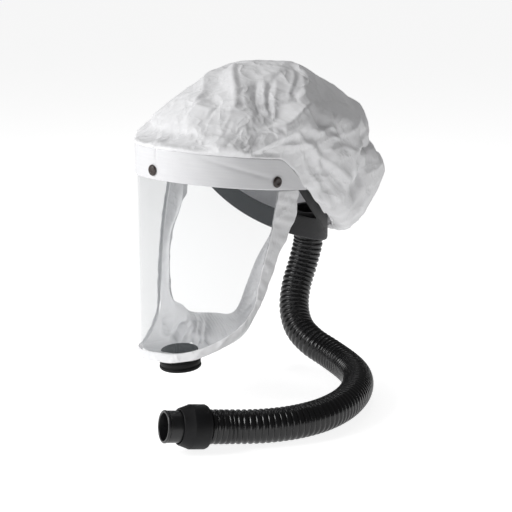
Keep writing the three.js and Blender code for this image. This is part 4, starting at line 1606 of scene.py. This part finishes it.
@dataclass
class BreathingHose:
    """The corrugated hose with its cuff and its plug."""

    line: np.ndarray
    radius: float = 17.0
    rib_pitch: float = 5.8
    rib_depth: float = 1.9
    rib_power: float = 3.0
    rib_rings: int = 8
    sides: int = 48
    gap: float = 0.3
    cuff_radius: float = 21.7
    cuff_length: float = 28.5
    cuff_chamfer: float = 9.7
    cuff_shoulder: float = 17.5
    cuff_back_steps: Outline = ((-3.0, 0.0), (-0.9, 0.9), (0.0, 3.0))
    cuff_bend_steps: Outline = ((0.0, -0.6), (-0.5, 0.0))
    cuff_front_steps: Outline = ((0.5, -0.5), (0.0, 0.0))
    cuff_ease: float = 0.35
    plug_radius: float = 15.9
    plug_bore: float = 13.2
    plug_reach: float = 15.5
    plug_socket: float = 13.0
    plug_neck: float = 0.4
    plug_lip_steps: Outline = ((-0.4, -3.4), (-0.9, -3.1), (-0.9, -2.6), (0.0, -2.2), (0.0, -0.7),
                               (-0.6, 0.0))
    plug_mouth_steps: Outline = ((0.5, 0.0), (0.0, -0.5))
    plug_draft: float = 0.4
    plug_floor: float = 3.0
    plug_ease: float = 0.2
    end_sides: int = 80

    @property
    def end_axis(self) -> np.ndarray:
        """Direction of the hose at its cuff."""
        step = self.line[-1] - self.line[-2]
        return step / np.linalg.norm(step)

    @property
    def end_place(self) -> np.ndarray:
        """Back of the cuff, a gap past the end of the route."""
        return self.line[-1] + self.gap * self.end_axis

    def rib_tree(self) -> bpy.types.NodeTree:
        """Builds the tree that turns the route into a corrugated tube.

        Returns:
            The tree, with named inputs for its sizes.
        """
        tree = bpy.data.node_groups.new("hose_ribs", "GeometryNodeTree")
        kinds = {"Geometry": "Geometry", "Radius": "Float", "Rib Pitch": "Float", "Rib Depth": "Float",
                 "Ring Step": "Float", "Sides": "Int", "Material": "Material"}
        for name, kind in kinds.items():
            tree.interface.new_socket(name, in_out="INPUT", socket_type="NodeSocket" + kind)
        tree.interface.new_socket("Geometry", in_out="OUTPUT", socket_type="NodeSocketGeometry")
        given = add_node(tree, "NodeGroupInput").outputs
        rings = add_node(tree, "GeometryNodeResampleCurve", {"mode": "LENGTH"},
                         {"Curve": given["Geometry"], "Length": given["Ring Step"]})
        # From the length along the route to how deep each ring lies: a groove where two ribs meet
        steps = (("DIVIDE", given["Rib Pitch"]), ("FRACT", 0.0), ("SUBTRACT", 0.5), ("ABSOLUTE", 0.0),
                 ("MULTIPLY", 2.0), ("POWER", self.rib_power), ("MULTIPLY", given["Rib Depth"]))
        value = add_node(tree, "GeometryNodeSplineParameter").outputs["Length"]
        for operation, other in steps:
            step = add_node(tree, "ShaderNodeMath", {"operation": operation}, {0: value, 1: other})
            value = step.outputs[0]
        size = add_node(tree, "ShaderNodeMath", {"operation": "SUBTRACT"}, {0: given["Radius"], 1: value})
        section = add_node(tree, "GeometryNodeCurvePrimitiveCircle", None,
                           {"Resolution": given["Sides"], "Radius": 1.0})
        tube = add_node(tree, "GeometryNodeCurveToMesh", None,
                        {"Curve": rings.outputs["Curve"], "Profile Curve": section.outputs["Curve"],
                         "Scale": size.outputs[0], "Fill Caps": True})
        real = add_node(tree, "GeometryNodeRealizeInstances", None, {"Geometry": tube.outputs["Mesh"]})
        dressed = add_node(tree, "GeometryNodeSetMaterial", None,
                           {"Geometry": real.outputs["Geometry"], "Material": given["Material"]})
        add_node(tree, "NodeGroupOutput", None, {"Geometry": dressed.outputs["Geometry"]})
        return tree

    def build_tube(self, material: bpy.types.Material) -> bpy.types.Object:
        """Builds the corrugated tube along its route.

        Args:
            material: its finish.

        Returns:
            The tube.
        """
        wire = bpy.data.curves.new("hose_route", "CURVE")
        wire.dimensions = "3D"
        spline = wire.splines.new("POLY")
        spline.points.add(len(self.line) - 1)
        places = np.concatenate([self.line * MM, np.ones((len(self.line), 1))], axis=1)
        spline.points.foreach_set("co", places.ravel())
        guide = link_object("hose_route", wire)
        tree = self.rib_tree()
        ribs = guide.modifiers.new("ribs", "NODES")
        ribs.node_group = tree
        values = {
            "Radius": self.radius * MM,
            "Rib Pitch": self.rib_pitch * MM,
            "Rib Depth": self.rib_depth * MM,
            "Ring Step": self.rib_pitch / self.rib_rings * MM,
            "Sides": self.sides,
            "Material": material,
        }
        for item in tree.interface.items_tree:
            if item.in_out == "INPUT" and item.name in values:
                ribs[item.identifier] = values[item.name]
        graph = bpy.context.evaluated_depsgraph_get()
        mesh = bpy.data.meshes.new_from_object(guide.evaluated_get(graph))
        bpy.data.objects.remove(guide)
        bpy.data.curves.remove(wire)
        mesh.shade_smooth()
        return finish_piece(link_object("breathing_hose", mesh), material, "hose")

    def build_cuff(self, material: bpy.types.Material) -> bpy.types.Object:
        """Builds the cuff that clamps the hose's end.

        Args:
            material: its finish.

        Returns:
            The cuff.
        """
        socket = self.plug_radius + self.gap
        depth = self.cuff_length - self.plug_socket
        bend = self.cuff_length - self.cuff_chamfer
        outline = [
            (0.0, 0.0),
            *steps_from(self.cuff_radius, 0.0, self.cuff_back_steps),
            *steps_from(self.cuff_radius, bend, self.cuff_bend_steps),
            *steps_from(self.cuff_shoulder, self.cuff_length, self.cuff_front_steps),
            (socket, self.cuff_length),
            (socket, depth),
            (0.0, depth),
        ]
        piece = turned_object("cuff_rubber", outline, self.end_place, self.end_axis, self.end_sides,
                              self.cuff_ease)
        return finish_piece(piece, material, "hose_cuff")

    def build_plug(self, material: bpy.types.Material) -> bpy.types.Object:
        """Builds the open plug with a lip round its mouth.

        Args:
            material: its finish.

        Returns:
            The plug.
        """
        back = self.cuff_length - self.plug_socket + self.gap
        tip = self.cuff_length + self.plug_reach
        floor = back + self.plug_floor
        outline = [
            (0.0, back),
            (self.plug_radius - self.plug_neck, back),
            *steps_from(self.plug_radius, tip, self.plug_lip_steps),
            *steps_from(self.plug_bore, tip, self.plug_mouth_steps),
            (self.plug_bore - self.plug_draft, floor),
            (0.0, floor),
        ]
        piece = turned_object("plug_tube", outline, self.end_place, self.end_axis, self.end_sides,
                              self.plug_ease)
        return finish_piece(piece, material, "hose_plug")


@dataclass(frozen=True)
class Finish:
    """What the finishes with a pattern share: the material's name, and a dark and a light tone."""

    name: str
    dark: str
    light: str

    def tone_inputs(self, factor: bpy.types.NodeSocket) -> dict:
        """Inputs of a mix of the two tones, dark where the factor is 0."""
        return {"Factor": factor, MIX_FIRST: linear_color(self.dark), MIX_SECOND: linear_color(self.light)}


@dataclass(frozen=True)
class SpunbondCloth(Finish):
    """Spunbond polyolefin cloth: flash-bonded white fibres.

    It is matt, with a fine crinkle and faint swirls of fibre.
    """

    name: str = "spunbond_polyolefin"
    dark: str = "dadadc"
    light: str = "e8e8e9"
    roughness: float = 0.62
    shine: float = 0.35
    sheen: float = 0.08
    crinkle_mm: float = 24.0
    fibre_mm: float = 1.6
    crinkle_height: float = 1.6
    fibre_height: float = 0.05

    def material(self) -> bpy.types.Material:
        """Builds the finish.

        Returns:
            The material.
        """
        made, tree, shader = new_material(self.name)
        place = add_node(tree, "ShaderNodeTexCoord").outputs["Object"]
        crinkle = add_node(tree, "ShaderNodeTexNoise", {"noise_type": "RIDGED_MULTIFRACTAL"},
                           {"Vector": place, "Scale": 1 / (self.crinkle_mm * MM), "Detail": 4.0,
                            "Roughness": 0.5, "Lacunarity": 2.3, "Offset": 0.9, "Gain": 1.2,
                            "Distortion": 0.4})
        fibre = add_node(tree, "ShaderNodeTexNoise", None,
                         {"Vector": place, "Scale": 1 / (self.fibre_mm * MM), "Detail": 2.0,
                          "Distortion": 2.5})
        tint = add_node(tree, "ShaderNodeMix", {"data_type": "RGBA"}, self.tone_inputs(fibre.outputs["Fac"]))
        fold = add_node(tree, "ShaderNodeBump", None,
                        {"Strength": 0.6, "Distance": self.crinkle_height * MM,
                         "Height": crinkle.outputs["Fac"]})
        grain = add_node(tree, "ShaderNodeBump", None,
                         {"Strength": 0.4, "Distance": self.fibre_height * MM, "Height": fibre.outputs["Fac"],
                          "Normal": fold.outputs["Normal"]})
        set_inputs(tree, shader, {"Base Color": tint.outputs[MIX_RESULT],
                                  "Normal": grain.outputs["Normal"], "Roughness": self.roughness,
                                  "Specular IOR Level": self.shine, "Sheen Weight": self.sheen})
        return made


@dataclass(frozen=True)
class BandCloth(Finish):
    """Coated band cloth: smooth white film on cloth, with fine stretch lines along its length."""

    name: str = "coated_band_cloth"
    dark: str = "d0d0d3"
    light: str = "dadadb"
    roughness: float = 0.5
    line_mm: float = 1.8
    line_height: float = 0.06
    line_stretch: float = 0.05

    def material(self) -> bpy.types.Material:
        """Builds the finish.

        Returns:
            The material.
        """
        made, tree, shader = new_material(self.name)
        flat = add_node(tree, "ShaderNodeTexCoord").outputs["UV"]
        drawn = add_node(tree, "ShaderNodeMapping", None,
                         {"Vector": flat, "Scale": (self.line_stretch, 1.0, 1.0)})
        lines = add_node(tree, "ShaderNodeTexNoise", None,
                         {"Vector": drawn.outputs["Vector"], "Scale": 1 / (self.line_mm * MM), "Detail": 2.0})
        tint = add_node(tree, "ShaderNodeMix", {"data_type": "RGBA"}, self.tone_inputs(lines.outputs["Fac"]))
        bump = add_node(tree, "ShaderNodeBump", None,
                        {"Strength": 0.5, "Distance": self.line_height * MM, "Height": lines.outputs["Fac"]})
        set_inputs(tree, shader, {"Base Color": tint.outputs[MIX_RESULT],
                                  "Normal": bump.outputs["Normal"], "Roughness": self.roughness})
        return made


@dataclass(frozen=True)
class ClearSheet:
    """Clear copolyester sheet: thin and polished, with a faint grey veil that light goes straight through."""

    name: str = "clear_copolyester"
    color: str = "8a9094"
    veil: float = 0.12
    ior: float = 1.57
    haze_mm: float = 60.0
    polished: float = 0.03
    hazy: float = 0.1

    def material(self) -> bpy.types.Material:
        """Builds the finish.

        Returns:
            The material.
        """
        made, tree, shader = new_material(self.name)
        place = add_node(tree, "ShaderNodeTexCoord").outputs["Object"]
        haze = add_node(tree, "ShaderNodeTexNoise", None, {"Vector": place, "Scale": 1 / (self.haze_mm * MM)})
        rough = add_node(tree, "ShaderNodeMapRange", None,
                         {"Value": haze.outputs["Fac"], "To Min": self.polished, "To Max": self.hazy})
        set_inputs(tree, shader, {"Base Color": linear_color(self.color), "Alpha": self.veil, "IOR": self.ior,
                                  "Roughness": rough.outputs["Result"]})
        return made


@dataclass(frozen=True)
class MouldedBlack(Finish):
    """Black moulded rubber or plastic: even and dark, with a fine texture from the mould and faint scuffs."""

    roughness: float = 0.5
    spread: float = 0.06
    shine: float = 0.5
    grain_mm: float = 0.9
    grain_height: float = 0.03
    scuff_mm: float = 14.0

    def material(self) -> bpy.types.Material:
        """Builds the finish.

        Returns:
            The material.
        """
        made, tree, shader = new_material(self.name)
        place = add_node(tree, "ShaderNodeTexCoord").outputs["Object"]
        scuff = add_node(tree, "ShaderNodeTexNoise", None,
                         {"Vector": place, "Scale": 1 / (self.scuff_mm * MM), "Detail": 5.0,
                          "Roughness": 0.7})
        grain = add_node(tree, "ShaderNodeTexNoise", None,
                         {"Vector": place, "Scale": 1 / (self.grain_mm * MM), "Detail": 2.0})
        rough = add_node(tree, "ShaderNodeMapRange", None,
                         {"Value": scuff.outputs["Fac"], "From Min": 0.3, "From Max": 0.7,
                          "To Min": self.roughness - self.spread, "To Max": self.roughness + self.spread})
        tint = add_node(tree, "ShaderNodeMix", {"data_type": "RGBA"}, self.tone_inputs(scuff.outputs["Fac"]))
        bump = add_node(tree, "ShaderNodeBump", None,
                        {"Strength": 0.4, "Distance": self.grain_height * MM, "Height": grain.outputs["Fac"]})
        set_inputs(tree, shader, {"Base Color": tint.outputs[MIX_RESULT],
                                  "Normal": bump.outputs["Normal"], "Roughness": rough.outputs["Result"],
                                  "Specular IOR Level": self.shine})
        return made


@dataclass(frozen=True)
class StrapWebbing(Finish):
    """Woven elastic webbing: charcoal yarns in fine ribs along the strap, matt with a little sheen."""

    name: str = "elastic_webbing"
    dark: str = "111113"
    light: str = "202024"
    roughness: float = 0.8
    sheen: float = 0.2
    rib_mm: float = 1.5
    rib_height: float = 0.25
    yarns_per_rib: float = 1.4

    def material(self) -> bpy.types.Material:
        """Builds the finish.

        Returns:
            The material.
        """
        made, tree, shader = new_material(self.name)
        flat = add_node(tree, "ShaderNodeTexCoord").outputs["UV"]
        turns = 2 * math.pi / (WAVE_TURN * self.rib_mm * MM)
        ribs = add_node(tree, "ShaderNodeTexWave", {"wave_profile": "SIN", "bands_direction": "Y"},
                        {"Vector": flat, "Scale": turns})
        yarns = add_node(tree, "ShaderNodeTexWave", {"wave_profile": "SIN", "bands_direction": "X"},
                         {"Vector": flat, "Scale": turns * self.yarns_per_rib, "Distortion": 0.6})
        weave = add_node(tree, "ShaderNodeMath", {"operation": "MULTIPLY"},
                         {0: ribs.outputs["Fac"], 1: yarns.outputs["Fac"]}).outputs[0]
        tint = add_node(tree, "ShaderNodeMix", {"data_type": "RGBA"}, self.tone_inputs(weave))
        bump = add_node(tree, "ShaderNodeBump", None,
                        {"Strength": 0.7, "Distance": self.rib_height * MM, "Height": weave})
        set_inputs(tree, shader, {"Base Color": tint.outputs[MIX_RESULT], "Normal": bump.outputs["Normal"],
                                  "Roughness": self.roughness, "Sheen Weight": self.sheen})
        return made


@dataclass
class Studio:
    """The floor, the light and the camera at the picture's angle."""

    azimuth: float = 46.0
    elevation: float = 13.4
    distance: float = 1700.0
    target: tuple[float, float, float] = (24.6, 25.5, -82.9)
    lens: float = 112.7
    sensor: float = 36.0
    clip_m: float = 100.0
    floor_z: float = -229.4
    floor_size: float = 40000.0
    floor_color: str = "bcbcbc"
    floor_roughness: float = 0.8
    floor_shine: float = 0.1
    floor_glow: float = 0.86
    world: float = 0.12
    lights: tuple[SoftLight, ...] = (
        SoftLight("key", -1.28, 0.5, 0.75, 0.7, 17.0),
        SoftLight("top", 0.0, -0.8, 1.4, 0.7, 7.0),
        SoftLight("fill", -0.5, 1.2, -0.05, 0.6, 2.5),
    )

    def frame_axes(self) -> tuple[Vector, Vector, Vector]:
        """Directions to the picture's right, to the camera along the floor, and up."""
        s, c = math.sin(math.radians(self.azimuth)), math.cos(math.radians(self.azimuth))
        return Vector((c, s, 0)), Vector((s, -c, 0)), Vector((0, 0, 1))

    def place(self, name: str, data: bpy.types.ID, away: Vector) -> bpy.types.Object:
        """Places a camera or a light so that it looks at the object.

        Args:
            name: its name.
            data: the camera or the light.
            away: metres from the object.

        Returns:
            Its object.
        """
        item = link_object(name, data)
        item.location = Vector(self.target) * MM + away
        item.rotation_mode = "QUATERNION"
        item.rotation_quaternion = (-away).to_track_quat("-Z", "Y")
        return item

    def build_camera(self) -> None:
        """Builds the camera."""
        _, near, up = self.frame_axes()
        e = math.radians(self.elevation)
        data = bpy.data.cameras.new("picture")
        data.lens = self.lens
        data.sensor_width = self.sensor
        data.clip_end = self.clip_m
        away = (near * math.cos(e) + up * math.sin(e)) * self.distance * MM
        bpy.context.scene.camera = self.place("picture", data, away)

    def build_light(self, light: SoftLight) -> None:
        """Builds a square soft light.

        Args:
            light: its place, size and power.
        """
        right, near, up = self.frame_axes()
        data = bpy.data.lights.new(light.name, "AREA")
        data.shape = "SQUARE"
        data.size = light.size
        data.energy = light.power
        self.place(light.name, data, right * light.right + near * light.near + up * light.up)

    def build_floor(self) -> None:
        """Builds the pale floor, which glows a little so that it stays white to its edge."""
        half = self.floor_size / 2
        corners = np.array([(-half, -half), (half, -half), (half, half), (-half, half)])
        points = np.concatenate([corners, np.full((4, 1), self.floor_z)], axis=1)
        floor = new_object("floor", points, [(0, 1, 2, 3)])
        material, tree, shader = new_material("pale_floor")
        set_inputs(tree, shader, {"Base Color": linear_color(self.floor_color),
                                  "Roughness": self.floor_roughness, "Specular IOR Level": self.floor_shine,
                                  "Emission Color": WHITE, "Emission Strength": self.floor_glow})
        floor.data.materials.append(material)

    def build(self) -> None:
        """Builds the camera, the floor, the world and the lights."""
        self.build_camera()
        self.build_floor()
        world = bpy.data.worlds.new("studio")
        world.use_nodes = True
        tree = world.node_tree
        set_inputs(tree, tree.nodes["Background"], {"Color": WHITE, "Strength": self.world})
        bpy.context.scene.world = world
        bpy.context.scene.view_settings.view_transform = "Standard"
        for light in self.lights:
            self.build_light(light)


def main() -> None:
    """Builds the hood piece by piece."""
    logging.basicConfig(level=logging.INFO, format="%(name)s %(message)s")
    cloth = SpunbondCloth().material()
    band_cloth = BandCloth().material()
    clear = ClearSheet().material()
    webbing = StrapWebbing().material()
    rubber = MouldedBlack("moulded_rubber", "0d0d0e", "1a1a1c", roughness=0.52, spread=0.08,
                          shine=0.22).material()
    gloss = MouldedBlack("blow_moulded_hose", "070708", "0f0f11", roughness=0.24).material()
    plug_black = MouldedBlack("satin_plug", "0a0a0b", "161618", roughness=0.36).material()
    stud_dark = MouldedBlack("stud_acetal", "2a211f", "3a302d", roughness=0.34, spread=0.08).material()
    Studio().build()
    line = route_points(HOSE_ROUTE, ROUTE_STEPS)
    hose = BreathingHose(line)
    tube = hose.build_tube(gloss)
    ends = [hose.build_cuff(rubber), hose.build_plug(plug_black)]
    inlet = HoseInlet(line)
    inlet.build(rubber)
    visor = Visor()
    visor.build_sheet(clear)
    visor.build_binding(cloth)
    BrowBand().build(band_cloth)
    PressStuds().build(stud_dark)
    valve = ChinValve()
    valve.build_body(rubber)
    valve.build_insert(rubber)
    FaceSeal(valve).build(cloth)
    NapeStrap().build(webbing)
    Crown().build(cloth, inlet)


if __name__ == "__main__":
    main()
